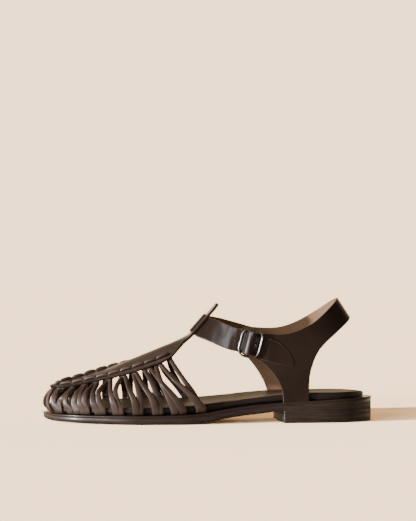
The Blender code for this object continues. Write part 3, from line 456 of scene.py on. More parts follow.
def deck(points, faces, ring, first, across, dish=None):
    """Covers a sole ring with rungs of faces from the outer side to the inner side."""
    count = len(ring)
    previous = [first] * (across + 1)
    for i in range(1, count // 2 + 1):
        row = [first + i] * (across + 1)
        if i < count // 2:
            row[across] = first + count - i
            for k in range(1, across):
                share = k / across
                row[k] = len(points)
                down = dish(share) if dish else 0.0
                points.append(ring[i] * (1 - share) + ring[count - i] * share + (0, 0, down))
        for k in range(across):
            quad = tuple(dict.fromkeys([previous[k], previous[k + 1], row[k + 1], row[k]]))
            if len(quad) > 2:
                faces.append(quad)
        previous = row


def sole_layer(name, steps, materials, across=2, dish=None):
    """A layer of the sole from (setback, height column, offset) steps, bottom to top."""
    rings = [layer_ring(*step) for step in steps]
    count = len(rings[0])
    points, faces = loft(rings)
    deck(points, faces, rings[0], 0, 2)
    deck(points, faces, rings[-1], (len(rings) - 1) * count, across, dish)
    return make_piece(name, points, faces, materials, sharp=50.0)


def at_level(level, base, *pairs):
    """Steps of one height column: each pair is a setback and a lift above base."""
    return [(setback, level, base + lift) for setback, lift in pairs]


print("sole width at the ball:", round(float(sole_edge(-55, 1) - sole_edge(-55, -1)), 1), "mm")

# %% [markdown]
# The outsole is one layer of hard leather. Its underside is flat under the ball and lifts at the toe and
# under the arch. The edge is trimmed square, inked and burnished, with a rounded lower corner that runs
# out where the heel carries on flush with it. The welt on top is a thinner strip that stands a hair
# further out and shows as a fine line all round.

# %% Outsole and welt
outsole = sole_layer("outsole_leather", at_level(
    "ground", 0.0, (3.6, 0.0), (2.4, 0.1), (1.5, 0.4), (0.9, 0.9), (0.55, 1.5),
    (OUTSOLE_SETBACK, 2.2)) + at_level(
    "seat", -WELT_THICKNESS, (OUTSOLE_SETBACK, -0.2), (0.5, -0.08), (0.8, -0.03)), [SOLE])
seat_piece(outsole, "outsole")

welt = sole_layer("welt_strip", at_level(
    "seat", -WELT_THICKNESS, (0.8, 0.0), (0.45, 0.02), (0.2, 0.1), (0.1, 0.25)) + at_level(
    "seat", 0.0, (0.0, -0.5), (0.12, -0.18), (0.4, -0.02), (0.8, 0.0)), [WELT], across=10)
seat_piece(welt, "welt")

# %% [markdown]
# The insole is what the foot stands on. Its rim is cut back underneath, like a shelf, so the ends of the
# straps can be tucked in and glued there, and it is inked dark, so that no pale line shows between them.
# The rim's near-black colour is also painted shade, standing in for the shadow under the shelf. Each face
# that stands up steeply gets the ink and the painted shade, which is simpler than counting faces. The top
# has a slight dish that the foot will deepen.

# %% Insole
DISH_DEPTH = 0.7
RIM_SLOPE = 0.72                        # a face steeper than this belongs to the cut rim


def dish(share):
    return -DISH_DEPTH * (4 * share * (1 - share)) ** 1.3


def rebate(lift):
    """Height of the shelf over the welt, as a function of x."""
    return lambda x: REBATE_HEIGHT - (REBATE_HEIGHT - REBATE_END) * smoothstep(*REBATE_FADE, x) + lift


shelf = [(INSOLE_SETBACK + setback, "seat", rebate(lift))
         for setback, lift in ((REBATE_DEPTH, 0.0), (0.5, 0.0), (0.15, 0.1), (0.0, 0.5))]
rim = at_level("bed", 0.0, *((INSOLE_SETBACK + setback, lift) for setback, lift in (
    (0.0, -1.5), (0.15, -0.85), (0.55, -0.35), (1.2, -0.08), (2.2, 0.0))))
insole = sole_layer("insole_bed", [(INSOLE_SETBACK + REBATE_DEPTH, "seat", 0.05)] + shelf + rim,
                    [INSOLE, RIM], 14, dish)
# Steep faces take the rim finish: ink and painted shade.
for face in insole.data.polygons:
    if abs(face.normal.z) < RIM_SLOPE:
        face.material_index = 1
seat_piece(insole, "insole")

# %% [markdown]
# The heel is a stack of leather lifts, ground smooth together and stained. The bottom lift is the one that
# wears, so it is a separate layer: a shallow groove marks it. A block without the groove would be simpler,
# but the light on that thin line is what says that a heel is stacked.

# %% Heel
HEEL_BREAST = {-1: 57.7, 1: 55.2}       # x of its front face at each side
HEEL_CORNER = 1.1
HEEL_ROUND = 0.35
TOP_LIFT, LIFTS = 2.4, 3
LIFT_LINE = 0.035


def rounded_corner(before, corner, after):
    before, corner, after = (floats(p) for p in (before, corner, after))
    start, end = (corner + unit(p - corner) * HEEL_CORNER for p in (before, after))
    t = np.linspace(0, 1, 8)[:, None]
    return list((1 - t) ** 2 * start + 2 * t * (1 - t) * corner + t * t * end)


def heel_plan():
    loop = sole_loop(OUTSOLE_SETBACK)
    half = len(loop) // 2 + 1
    corners, runs = [], []
    for side, part in ((-1, loop[:half]), (1, loop[half:])):
        x = HEEL_BREAST[side]
        corners.append((x, float(sole_edge(x, side)) - side * OUTSOLE_SETBACK))
        runs.append([p for p in part if p[0] > x + HEEL_CORNER + 1])
    (outer, inner), (outer_run, inner_run) = corners, runs
    return np.array(rounded_corner(inner, outer, outer_run[0]) + outer_run + inner_run
                    + rounded_corner(inner_run[-1], inner, outer))


def build_heel():
    """The block from rings of (inset, height): rounded foot, grooved top lift, then the lift lines."""
    plan = heel_plan()
    inward = unit(plan.mean(axis=0) - plan)
    low = TOP_LIFT + 0.3
    rise = height["ground"](plan[:, 0]) - 0.05 - low
    steps = [(HEEL_ROUND, 0.0), (HEEL_ROUND * 0.35, 0.14), (0.06, 0.38), (0.0, HEEL_ROUND),
             (0.0, TOP_LIFT - 0.3), (0.28, TOP_LIFT - 0.12), (0.28, TOP_LIFT + 0.12), (0.0, low)]
    for k in range(1, LIFTS + 1):
        groove = 0.07 if k < LIFTS else 0.03
        steps += [(0.0, low + rise * (k / LIFTS - LIFT_LINE)), (groove, low + rise * (k / LIFTS))]
        if k < LIFTS:
            steps.append((0.0, low + rise * (k / LIFTS + LIFT_LINE)))
    rings = [np.column_stack([plan + inward * inset, z + np.zeros(len(plan))]) for inset, z in steps]
    points, faces = loft(rings)
    count = len(plan)
    for base in (0, (len(rings) - 1) * count):
        faces += [(base + i, base + i + 1, base + count - 2 - i, base + count - 1 - i)
                  for i in range(count // 2 - 1)]
        if count % 2:
            mid = base + count // 2
            faces.append((mid - 1, mid, mid + 1))
    return make_piece("heel_stack", points, faces, [HEEL], sharp=50.0)


seat_piece(build_heel(), "heel")

# %% [markdown]
# ## The vamp and its T-strap
# The vamp is one leaf of leather that runs from the toe over the instep and ends in a tab, the upright of
# the T. Its lip is turned and rounded. Along each lip lies a row of slits, and the weave goes through
# them. Leather sinks a little where it is cut and pulled, so each slit sits in a soft trough made in the
# surface itself. A bump map would fade at the edges, where the light shows such dents best.

# %% Vamp tables
VAMP_WALL = 2.1
TAB_ANGLE = radians(49.0)
CROSSING_ALONG = 9.4
SLIT_NEAR, SLIT_FAR, SLIT_LENGTH = 2.9, 6.9, 19.2
FIRST_SLIT_X, LAST_SLIT_X = -115.4, -31.4
HOOPS = 9
SLIT_INSET = 3.9
SLITS = np.linspace(FIRST_SLIT_X, LAST_SLIT_X, HOOPS + 1)

Vamp = namedtuple("Vamp", "x y crown half_width drop tilt")
VAMP_LEAF = rows_of(
    Vamp, (-123.8, 7.4, 27.9, 2.2, 0.1, 0.3), (-122.8, 7.3, 28.2, 3.9, 0.2, 0.4),
    (-121, 7.1, 28.7, 5.6, 0.3, 0.6), (-117, 6.7, 29.5, 8.4, 0.4, 1.1), (-109, 6, 31.1, 11.8, 0.5, 1.6),
    (-99.6, 5.2, 33.6, 14.6, 0.8, 1.8), (-91, 4.5, 36.3, 16.8, 1, 2.1),
    (-81, 3.6, 39.3, 18.9, 1.6, 2.4), (-72, 2.9, 43.1, 20.4, 3.4, 2.2), (-60.7, 2, 48, 22, 5.8, 1.7),
    (-45.6, 1, 54.3, 23.6, 7.6, 1.2), (-36, 0.6, 58.3, 24.2, 8.2, 0.9), (-31, 0.5, 60.4, 23.9, 8, 0.7),
    (-27.6, 0.4, 61.8, 21.9, 7, 0.5), (-24, 0.3, 63.4, 17.6, 4.7, 0.3),
    (-19.5, 0.3, 65.5, 13.6, 2.2, 0.1), (-14.6, 0.3, 68.3, 11.6, 1.1, 0))
TAB_ROOT = (-13.0, 0.3, 69.5)
Tab = namedtuple("Tab", "along half_width drop")
TAB_END = rows_of(
    Tab, (3, 11.1, 0.5), (9, 11, 0.3), (16, 11, 0.3), (22, 10.8, 0.3), (26.5, 10.4, 0.3),
    (29.2, 9, 0.2), (30.6, 7, 0.1), (31, 5.2, 0))


def tab_point(along, y=0.0, lift=0.0):
    """A point of the tab's outer face, or lift above it."""
    return np.array([TAB_ROOT[0] + along * cos(TAB_ANGLE) - lift * sin(TAB_ANGLE), TAB_ROOT[1] + y,
                     TAB_ROOT[2] + along * sin(TAB_ANGLE) + lift * cos(TAB_ANGLE)])


VAMP_ROWS = VAMP_LEAF + [Vamp(*tab_point(t.along), t.half_width, t.drop, 0.0) for t in TAB_END]
vamp = {name: table_curve(VAMP_ROWS, name) for name in ("y", "crown", "half_width", "drop", "tilt")}
LIP_ROLL, WIDEST, TAB_HALF = 1.1, 24.2, 11.6


def vamp_point(x, v):
    """Outer face of the vamp at station x; v runs from -1, outer lip, to +1, inner lip."""
    x, v = np.broadcast_arrays(floats(x), floats(v))
    half = vamp["half_width"](x)
    roll = LIP_ROLL * np.maximum(0.0, half - TAB_HALF) / (WIDEST - TAB_HALF)
    z = vamp["crown"](x) + vamp["tilt"](x) * v - vamp["drop"](x) * v * v - roll * v ** 8
    return np.stack([x, vamp["y"](x) + v * half, z], axis=-1)


def vamp_normal(x, v):
    along = vamp_point(x + 0.2, v) - vamp_point(x - 0.2, v)
    across = vamp_point(x, v + 0.01) - vamp_point(x, v - 0.01)
    return unit(np.cross(along, across))


def slit_v(x, side):
    return side * np.maximum(0.25, 1 - SLIT_INSET / vamp["half_width"](x))


print("vamp length along x:", round(VAMP_ROWS[-1].x - VAMP_ROWS[0].x, 1), "mm")

# %% Vamp leaf
LEAF_COLUMNS = 37
TROUGH_DEPTH, TROUGH_SIZE = 0.55, (1.5, 2.6)


def leaf_stations():
    """Stations about a millimetre apart, with every row of the table among them."""
    xs = []
    for a, b in zip(VAMP_ROWS, VAMP_ROWS[1:]):
        parts = max(2, ceil((b.x - a.x) / 1.1))
        xs += [a.x + (b.x - a.x) * k / parts for k in range(parts)]
    return np.array(xs + [VAMP_ROWS[-1].x])


def leaf_relief(grid):
    """How far the leather sinks at its slits, as a soft trough round each."""
    relief = np.zeros(grid.shape[:2])
    for side in SIDES:
        for x in SLITS:
            away = (grid - vamp_point(x, slit_v(x, side)))[..., :2] / TROUGH_SIZE
            relief -= TROUGH_DEPTH * np.exp(-away[..., 0] ** 2 - away[..., 1] ** 2)
    return relief


def tab_cutter(side):
    """A cutter through the tab: a long slot with round ends."""
    half = (SLIT_FAR - SLIT_NEAR) / 2
    middle = side * (SLIT_NEAR + SLIT_FAR) / 2
    outline = [(CROSSING_ALONG + sign * SLIT_LENGTH / 2 - sign * half * 0.6 + sign * half * 0.6 * sin(t),
                middle + sign * half * cos(t)) for sign in (1, -1) for t in np.linspace(0, pi, 9)]
    points = [tab_point(a, y, lift) for lift in (-6.0, 6.0) for a, y in outline]
    count = len(outline)
    faces = skin_faces(2, count) + [tuple(range(count)), tuple(range(count, 2 * count))]
    return make_piece("slot_cutter", points, faces, VAMP_SET, [1] * len(faces))


def cut(piece, cutters):
    """Cuts holes with the exact solver and removes the cutters."""
    for cutter in cutters:
        change = piece.modifiers.new("cut", "BOOLEAN")
        change.operation = "DIFFERENCE"
        change.solver = "EXACT"
        change.object = cutter
    mesh = bpy.data.meshes.new_from_object(piece.evaluated_get(bpy.context.evaluated_depsgraph_get()))
    piece.modifiers.clear()
    piece.data = mesh
    for cutter in cutters:
        bpy.data.objects.remove(cutter, do_unlink=True)
    round_off(mesh)


leaf_x = leaf_stations()
leaf_grid = vamp_point(leaf_x[:, None], np.linspace(-1, 1, LEAF_COLUMNS)[None, :])
leaf = wall("vamp_leaf", leaf_grid, VAMP_WALL, 0.95, VAMP_SET, leaf_relief(leaf_grid))
cut(leaf, [tab_cutter(-1), tab_cutter(1)])
seat_piece(leaf, "upper")

# %% [markdown]
# ## The woven strips
# Every hoop of the weave is one strip of folded leather. It lies over the vamp between two slits, dives
# through both, comes out under the lip, and its two legs run down to the sole, where they are shaved
# thin and tucked under the insole. Each is made as a soft oval drawn along a curve. Strips cut and pulled
# by hand are never quite equal, so a fixed random sequence varies their bow, width and twist by a hair.

# %% Strip paths
STRIP_TOP = (3.5, 2.4)
STRIP_FOOT = (6.2, 1.9)
TUCK_DEPTH = 5.2
STRIP_EDGE = 3.3
STRIP_SIDES = 16
LEG_SQUARE, LOOP_SQUARE = 2.7, 2.4     # how square their ovals are
LOOP_SLIT, LOOP_SWELL = (2.5, 1.5), (1.9, 1.15)
Leg = namedtuple("Leg", "lip high low foot")            # x of a strip's leg, from the lip to the sole
FRONT_LEGS = rows_of(
    Leg, (-118, -121.1, -121.7, -120), (-106.3, -111.6, -112.8, -110.2), (-97.2, -100.7, -101.5, -99.4),
    (-87.7, -91.2, -90.9, -87.6), (-77.6, -77.5, -75.6, -73.2), (-66, -63.2, -58.9, -57.3),
    (-57.5, -51.4, -45, -41.8), (-46.3, -38, -28.2, -20.4), (-38.2, -28, -15.6, -4.8))
REAR_LEGS = rows_of(
    Leg, (-107.9, -114.6, -118.6, -119), (-98.9, -105.1, -107, -104.6), (-90, -97, -98, -97.2),
    (-80, -86.8, -87, -84.4), (-69.5, -73.7, -72.8, -70.4), (-59.5, -56.5, -54.9, -54.4),
    (-50.6, -44.6, -41.4, -39.4), (-42.1, -38.6, -33, -27.2), (-30.4, -22.6, -13.4, -7))
INNER_SHIFT = -5.0                                      # legs on the inner side stand further forward
INNER_FROM = (-110.0, -80.0)
# A loop's height over the vamp, from its slit to its middle, as rows of share and lift.
LOOP_RISE = [(0.02, -0.9), (0.07, 0.3), (0.2, 0.95), (0.5, 1.15)]
chance = np.random.default_rng(11)


def vary(amount):
    return float(chance.uniform(-amount, amount))


def along_path(rows, spacing):
    """Rows of numbers, the first three a place, spread evenly along their path."""
    rows = floats(rows)
    arc = np.concatenate([[0], np.cumsum(np.linalg.norm(np.diff(rows[:, :3], axis=0), axis=1))])
    at = np.linspace(0, arc[-1], max(3, int(round(arc[-1] / spacing)) + 1))
    return np.column_stack([easing(arc, rows[:, k])(at) for k in range(rows.shape[1])])


def foot_frame(x, side):
    """The welt edge at x: the point, its direction and the way in to the insole."""
    along = unit((1.0, float(sole_edge(x + 0.5, side) - sole_edge(x - 0.5, side)), 0.0))
    return np.array([x, float(sole_edge(x, side)), 0.0]), along, np.cross(along, (0, 0, 1)) * side


def inner_shift(x):
    """How far a leg on the inner side stands from where it would be on the outer side."""
    return INNER_SHIFT * min(1.0, max(0.0, (x - INNER_FROM[0]) / (INNER_FROM[1] - INNER_FROM[0])))


def strip_leg(slit_x, leg, side, depth):
    """One leg of a hoop: out of its slit, under the lip, down to the sole and in under the insole."""
    v = slit_v(slit_x, side)
    v += (side - v) * 0.45
    below = VAMP_WALL + STRIP_TOP[1] / 2 - 0.35
    start = vamp_point(slit_x, v) - vamp_normal(slit_x, v) * (below - 0.6)
    stations = [vamp_point(leg.lip, side) - vamp_normal(leg.lip, side) * (below + 0.8)]
    shift = inner_shift if side > 0 else (lambda x: 0.0)
    seat = seat_at(leg.foot + shift(leg.foot)) + 0.1
    for x, part, out, bulge, inside, drop in (
            (leg.high, 0.5, 0.79, 1.1, 0.6, 0.3), (leg.low, 0.9, 0.97, 1.6, 0.8, 0.65),
            (leg.foot, 1.0, 1.0, 0.0, 0.15, 1.0)):
        edge, along, inward = foot_frame(x + shift(x) * part, side)
        place = edge + inward * (STRIP_EDGE - bulge + depth * inside)
        place[1] = stations[0][1] + (place[1] - stations[0][1]) * out
        place[2] = stations[0][2] + (seat + 3.2 - stations[0][2]) * drop
        stations.append(place + (vary(0.25), 0, 0))
    foot = stations[-1]
    turn = [foot + inward * way - (0, 0, down) for way, down in ((0.25, 1.3), (1.1, 2.1))]
    tuck = edge + inward * (STRIP_EDGE + TUCK_DEPTH)
    tuck[2] = seat_at(tuck[0]) + 0.85
    path = along_path([start] + list(refine(stations, 8)) + turn + [tuck], 1.1)
    share = np.linspace(0, 1, len(path))
    spread = (STRIP_FOOT[0] - STRIP_TOP[0] - 1.0) * smoothstep(0.5, 0.86, share)
    wide = STRIP_TOP[0] + 1.0 * share + spread + vary(0.2)
    thick = STRIP_TOP[1] + (STRIP_FOOT[1] - STRIP_TOP[1]) * share
    near_foot = smoothstep(0.84, 0.97, share)
    thick = thick * (1 - near_foot) + 1.3 * near_foot
    twist = vary(0.16)
    across = [along * t + (1 - t, twist * side * sin(pi * t), 0) for t in share]
    return rolled_rings(path, wide, thick, across, STRIP_SIDES, LEG_SQUARE)


def puff(share):
    """How far a loop has swollen, from one slit to the next."""
    return np.sin(pi * share) ** 0.6


def strip_loop(x0, x1, side):
    """The short run of a strip over the vamp, between two slits: a puffed lozenge."""
    rows = []
    for share, lift in LOOP_RISE + [(1 - share, lift) for share, lift in reversed(LOOP_RISE[:-1])]:
        x = x0 + (x1 - x0) * share
        v = slit_v(x, side)
        rows.append(vamp_point(x, v) + vamp_normal(x, v) * lift)
    path = along_path(refine(rows, 5), 0.42)
    share = np.linspace(0, 1, len(path))
    swell = puff(share)
    wide = LOOP_SLIT[0] + (LOOP_SWELL[0] + vary(0.15)) * swell
    thick = LOOP_SLIT[1] + LOOP_SWELL[1] * swell
    lean = vary(0.05)
    return rolled_rings(path, wide, thick, (lean, 1, 0), STRIP_SIDES, LOOP_SQUARE)


print("slits at x:", [round(float(x), 1) for x in SLITS])

# %% Strips
Toe = namedtuple("Toe", "x y z")                        # middle lines of the two strips at the toe
TOE_STRIPS = {-1: rows_of(
    Toe, (-122.8, 4.4, 22.6), (-124.9, 1, 17.6), (-125.1, -1.2, 12.8), (-123.7, -2.2, 0)), 1: rows_of(
    Toe, (-124.4, 9.6, 22.6), (-127.2, 12, 17.6), (-127.4, 13.2, 12.8), (-125.2, 13.6, 0))}
TOE_YAW = radians(20.0)
TOE_LOOP = (-119.6, -113.4)


def toe_strip(side):
    """One of the pair of strips that close the weave at the toe."""
    tip = vamp_point(-121.0, 0.0)
    foot = TOE_STRIPS[side][-1]
    seat = seat_at(foot.x) + 0.1
    path = [tip + (4.2, side * 1.0, -1.9), tip + (0.5, side * 1.2, -3.1)]
    path += TOE_STRIPS[side][:-1]
    path += [(foot.x + dx, foot.y, seat + dz)
             for dx, dz in ((-0.4, 3.0), (0.4, 1.3), (2.0, 0.75), (TUCK_DEPTH, 0.75))]
    path = along_path(refine(path, 4), 0.8)
    share = np.linspace(0, 1, len(path))
    wide, thick = 4.0 + 2.0 * share, 2.6 - 1.4 * smoothstep(0.6, 0.85, share)
    turns = TOE_YAW * np.minimum(1.0, 2.5 * share)
    across = [(side * sin(a), cos(a), 0) for a in turns]
    return rolled_rings(path, wide, thick, across, STRIP_SIDES, LEG_SQUARE)


def toe_loop():
    """The short strip on the leaf's tip, ahead of the two rows."""
    share = np.linspace(0, 1, 17)
    x = TOE_LOOP[0] + (TOE_LOOP[1] - TOE_LOOP[0]) * share
    swell = puff(share)
    path = vamp_point(x, 0.0) + vamp_normal(x, 0.0) * (-0.7 + 1.9 * swell)[:, None]
    return rolled_rings(path, 2.6 + 1.7 * swell, 1.5 + swell, (0, 1, 0), STRIP_SIDES, LOOP_SQUARE)


def gather(name, parts, materials):
    """Several closed skins as one piece."""
    points, faces = [], []
    for part_points, part_faces in parts:
        base = len(points)
        points += part_points
        faces += [tuple(base + k for k in face) for face in part_faces]
    return make_piece(name, points, faces, materials)


legs, loops = [toe_strip(-1), toe_strip(1)], [toe_loop()]
for side in SIDES:
    for front, rear, x0, x1 in zip(FRONT_LEGS, REAR_LEGS, SLITS, SLITS[1:]):
        loops.append(strip_loop(x0, x1, side))
        legs.append(strip_leg(x0, front, side, 0.0))
        legs.append(strip_leg(x1, rear, side, 1.6))
seat_piece(gather("woven_legs", legs, [STRIP_CALF]), "upper")
seat_piece(gather("woven_loops", loops, [STRIP_CALF]), "upper")

# %% [markdown]
# ## The quarter and the heel sling
# The quarter rises from the sole as a stem on each side, widens at the ankle and narrows into a sling round
# the back of the heel. It is drawn as ribs across its width, and the ribs are wrapped onto the ankle: a
# formula gives how far the ankle stands out at each height. Wrapping a flat pattern on a form is also how
# the shoemaker lasts it. The leather is lined, so the inner face is tan and the edge is inked. The edge's
# paler colour is painted highlight for the light that its rounded edge catches.

# %% The ankle's form
QUARTER_WALL = 1.8
SLING_FOOT, SLING_TOP = (113.6, 81.5), (103.4, 97.0)
STEM_LEVELS = (15.0, 31.0)
ANKLE_START, ANKLE_POWER, ANKLE_SPREAD = 52.0, 2.3, 0.0022
Side = namedtuple("Side", "z lateral medial")
ANKLE = rows_of(
    Side, (22, 30.4, 26.2), (35, 30.4, 28), (50, 30, 28.4), (65, 29.4, 28), (80, 27.6, 26.8),
    (97, 25, 25))
ankle_wide = {side: table_curve(ANKLE, name, "z") for side, name in SIDES.items()}


def ankle_y(x, z, side):
    """Distance of the quarter's outer face from the middle plane."""
    x, z = np.broadcast_arrays(floats(x), floats(z))
    wide = ankle_wide[side](z)
    (foot_x, foot_z), (top_x, top_z) = SLING_FOOT, SLING_TOP
    back = foot_x + (top_x - foot_x) * (z - foot_z) / (top_z - foot_z)
    reach = np.clip((x - ANKLE_START) / (back - ANKLE_START), 0, 1)
    wide = np.where(x > ANKLE_START, wide * (1 - reach ** ANKLE_POWER) ** (1 / ANKLE_POWER),
                    wide - ANKLE_SPREAD * (ANKLE_START - x) ** 2)
    stem = np.abs(sole_edge(x, side)) - (INSOLE_SETBACK - 0.3 - QUARTER_WALL)
    return stem + (wide - stem) * smoothstep(*STEM_LEVELS, z)


Rib = namedtuple("Rib", "rear_x rear_z front_x front_z")
QUARTER = {-1: rows_of(
    Rib, (77.6, 18, 57.4, 16.4), (77.6, 24, 57, 22.4), (77.8, 31, 55.2, 28.6), (78.6, 38, 51.8, 35),
    (80.4, 44.6, 46.8, 41.4), (82.6, 50.4, 39.8, 48), (85, 54.8, 34, 53), (87.4, 58.2, 33.2, 62),
    (89.9, 60.9, 37.4, 68.4), (92.5, 63.4, 44.4, 69.2), (95.3, 65.8, 51.6, 68.6),
    (98.1, 68.2, 59.4, 68.9), (101.1, 70.7, 67.8, 71.1), (104.3, 73.4, 75.8, 74.6),
    (107.5, 76.1, 83.8, 79.5), (110.7, 78.7, 92.3, 86.8), (112.8, 80.7, 99.4, 93.2),
    (113.6, 81.5, 103.4, 97)), 1: rows_of(
    Rib, (72.6, 18, 51, 16.4), (72.8, 24, 49.8, 22.4), (73.6, 31, 47.2, 29.6), (75.2, 38, 43.6, 36.4),
    (77.8, 44.6, 39.4, 42.4), (81, 50.4, 34.6, 48), (84, 54.8, 29, 53), (86.8, 58.2, 27, 60),
    (89.6, 60.9, 27.8, 72.6), (92.5, 63.4, 37.6, 73), (95.3, 65.8, 48.6, 72.3), (98.1, 68.2, 58, 72.7),
    (101.1, 70.7, 67, 74.8), (104.3, 73.4, 75.2, 78.3), (107.5, 76.1, 83.4, 82.9),
    (110.7, 78.7, 91.9, 88.4), (112.8, 80.7, 99.2, 93.8), (113.6, 81.5, 103.4, 97))}
print("ankle width at the top line:", round(float(ankle_y(60, 69, -1) + ankle_y(60, 69, 1)), 1), "mm")

# %% Quarter leather
QUARTER_COLUMNS = 30


def quarter_ribs(side):
    """Ribs from the welt up to the middle of the sling, closer together where it turns."""
    ribs = QUARTER[side]
    base = ribs[0]
    feet = [(base.rear_x, seat_at(base.rear_x) + 0.05, base.front_x, seat_at(base.front_x) + 0.05)]
    feet.append(tuple((a + b) / 2 for a, b in zip(feet[0], base)))
    fine = refine(ribs[:-1], 4)
    last, top = np.array(ribs[-2:])
    turn = [last + (top - last) * (1 - (1 - k / 14) ** ANKLE_POWER) for k in range(1, 15)]
    return np.vstack([feet, fine, turn])


def quarter_grid(side):
    ribs = quarter_ribs(side)
    share = np.linspace(0, 1, QUARTER_COLUMNS)[None, :]
    x = ribs[:, 0:1] + (ribs[:, 2:3] - ribs[:, 0:1]) * share
    z = ribs[:, 1:2] + (ribs[:, 3:4] - ribs[:, 1:2]) * share
    return np.stack([x, side * ankle_y(x, z, side), z], axis=-1)


quarter_points = np.concatenate([quarter_grid(-1), quarter_grid(1)[-2::-1]])
quarter = wall("quarter_leather", quarter_points, QUARTER_WALL, 0.8, LEATHER_SET)
seat_piece(quarter, "quarter")


def stem_tuck(side, count=9):
    """The foot of a stem, shaved thin and turned in under the insole."""
    base = QUARTER[side][0]
    x = np.linspace(base.front_x + 0.4, base.rear_x - 0.4, count)
    outer = side * (ankle_y(x, 10.0, side) - 0.5)
    inner = sole_edge(x, side) - side * (INSOLE_SETBACK + TUCK_DEPTH)
    floor = height["seat"](x) + 0.05
    points = []
    for y, lift in ((outer, 0.0), (inner, 0.0), (inner, 1.2), (outer, 1.2)):
        points += list(np.column_stack([x, y, floor + lift]))
    rows = [(k, (k + count) % len(points)) for k in range(0, len(points), count)]
    faces = [(a + i, a + i + 1, b + i + 1, b + i) for a, b in rows for i in range(count - 1)]
    faces += [tuple(a + end for a, b in rows) for end in (0, count - 1)]
    return points, faces


tucks = gather("stem_tucks", [stem_tuck(side) for side in SIDES], [CALF])
seat_piece(tucks, "quarter")

# %% [markdown]
# ## The buckle
# A small rounded frame of nickel wire with a hidden centre bar. The quarter's end is shaved thin and folded
# round the bar, with a gap in the middle for the prong, which hooks round the bar too. The buckle has
# its own axes: along the strap, across it and out of the face. Everything about it is drawn in those
# axes, which is far easier than tilting finished parts into place.

# %% Buckle axes
BUCKLE_CENTRE = (31.6, 62.2)
BUCKLE_TILT, BUCKLE_YAW = radians(15.0), radians(5.0)
BUCKLE_HEIGHT, BUCKLE_WIDTH, BUCKLE_CORNER, BUCKLE_WIRE = 23.6, 17.6, 6.2, 0.8
BUCKLE_OUT, BAR_DROP, BAR_WIRE = 3.3, 1.2, 0.85
PRONG_WIRE, PRONG_PLAY = 0.5, 0.35
PRONG_REACH = [(1.3, 0.55), (2.6, 0.72), (4.0, 0.9), (5.4, 1.0)]     # along the strap, and out of it
LOOP_WALL, LOOP_HALF = 0.9, 6.8

along_strap = unit((cos(BUCKLE_TILT) * cos(BUCKLE_YAW), -sin(BUCKLE_YAW), -sin(BUCKLE_TILT)))
over_strap = np.array([sin(BUCKLE_TILT), 0, cos(BUCKLE_TILT)])
over_strap = unit(over_strap - along_strap * np.dot(over_strap, along_strap))
out_of_face = np.cross(along_strap, over_strap)
buckle_y = -(float(ankle_y(*BUCKLE_CENTRE, -1)) + BUCKLE_OUT)
buckle_origin = np.array([BUCKLE_CENTRE[0], buckle_y, BUCKLE_CENTRE[1]])


def in_buckle(along, across, out):
    return buckle_origin + along_strap * along + over_strap * across + out_of_face * out


def bar_circle(radius, angles):
    return [(radius * cos(radians(a)), radius * sin(radians(a)) - BAR_DROP) for a in angles]


print("buckle centre:", [round(float(c), 1) for c in buckle_origin])

# %% Buckle frame, bar and prong
def frame_ring():
    reach = np.array([BUCKLE_WIDTH / 2 - BUCKLE_WIRE, BUCKLE_HEIGHT / 2 - BUCKLE_WIRE]) - BUCKLE_CORNER
    path = []
    for quarter_turn, corner in enumerate(((1, 1), (-1, 1), (-1, -1), (1, -1))):
        for k in range(9):
            a = radians(90 * quarter_turn + 90 * k / 8)
            path.append(reach * corner + BUCKLE_CORNER * np.array([cos(a), sin(a)]))
    count, sides = len(path), 14
    points = []
    for i, here in enumerate(path):
        tangent = unit(path[(i + 1) % count] - path[i - 1])
        out = np.array([tangent[1], -tangent[0]])
        for k in range(sides):
            a = 2 * pi * k / sides
            flat = here + out * BUCKLE_WIRE * cos(a)
            points.append(in_buckle(flat[0], flat[1], BUCKLE_WIRE * sin(a)))
    return points, [tuple(k % len(points) for k in face) for face in skin_faces(count + 1, sides)]


def bar_tube():
    half = BUCKLE_HEIGHT / 2 - BUCKLE_WIRE - 0.05
    path = [in_buckle(0, s * half, -BAR_DROP * (1 - abs(s) ** 6)) for s in np.linspace(-1, 1, 25)]
    return rolled_rings(path, 2 * BAR_WIRE, 2 * BAR_WIRE, along_strap, 14, 2.0)


def prong_tube():
    ring = bar_circle(BAR_WIRE + 0.12 + PRONG_WIRE, range(-20, -271, -10))
    reach = refine([ring[-1], *PRONG_REACH], 5)[2:]
    path = [in_buckle(t, 0, n) for t, n in ring + [tuple(p) for p in reach]]
    wire = [2 * PRONG_WIRE] * (len(path) - 3) + [0.95, 0.8, 0.5]
    return rolled_rings(path, wire, wire, over_strap, 12, 2.0)


seat_piece(gather("buckle_wire", [frame_ring(), bar_tube()], [NICKEL]), "buckle_frame")
seat_piece(gather("prong_wire", [prong_tube()], [NICKEL]), "buckle_prong")

# %% The fold that holds the bar
fold_radius = BAR_WIRE + 0.15 + LOOP_WALL
fold_profile = [(1.4, -4.3), *bar_circle(fold_radius, range(-140, -361, -20)),
                (2.6, -2.6), (4.2, -3.3), (6.0, -3.5)]
fold_profile = along_path([(t, 0.0, n) for t, n in fold_profile], 0.5)
for number, (low, high) in enumerate(((-LOOP_HALF, -0.95), (0.95, LOOP_HALF)), 1):
    widths = np.linspace(low, high, 8)
    fold_grid = np.array([[in_buckle(t, w, n) for w in widths] for t, _, n in fold_profile])
    fold = wall(f"bar_fold_{number}", fold_grid, LOOP_WALL, 0.3, LEATHER_SET)
    seat_piece(fold, "quarter")

# %% [markdown]
# ## The ankle strap
# A lined band, 18 mm wide. It starts inside the inner arm of the quarter, goes through both slits of the
# tab and over the buckle's bar. Its rounded end is pared thin and lies flat on the quarter. Where it
# rounds the bar and where it bends at the tab, the leather is softly creased. The creases are placed
# along the strap, as shallow waves in the outer face.

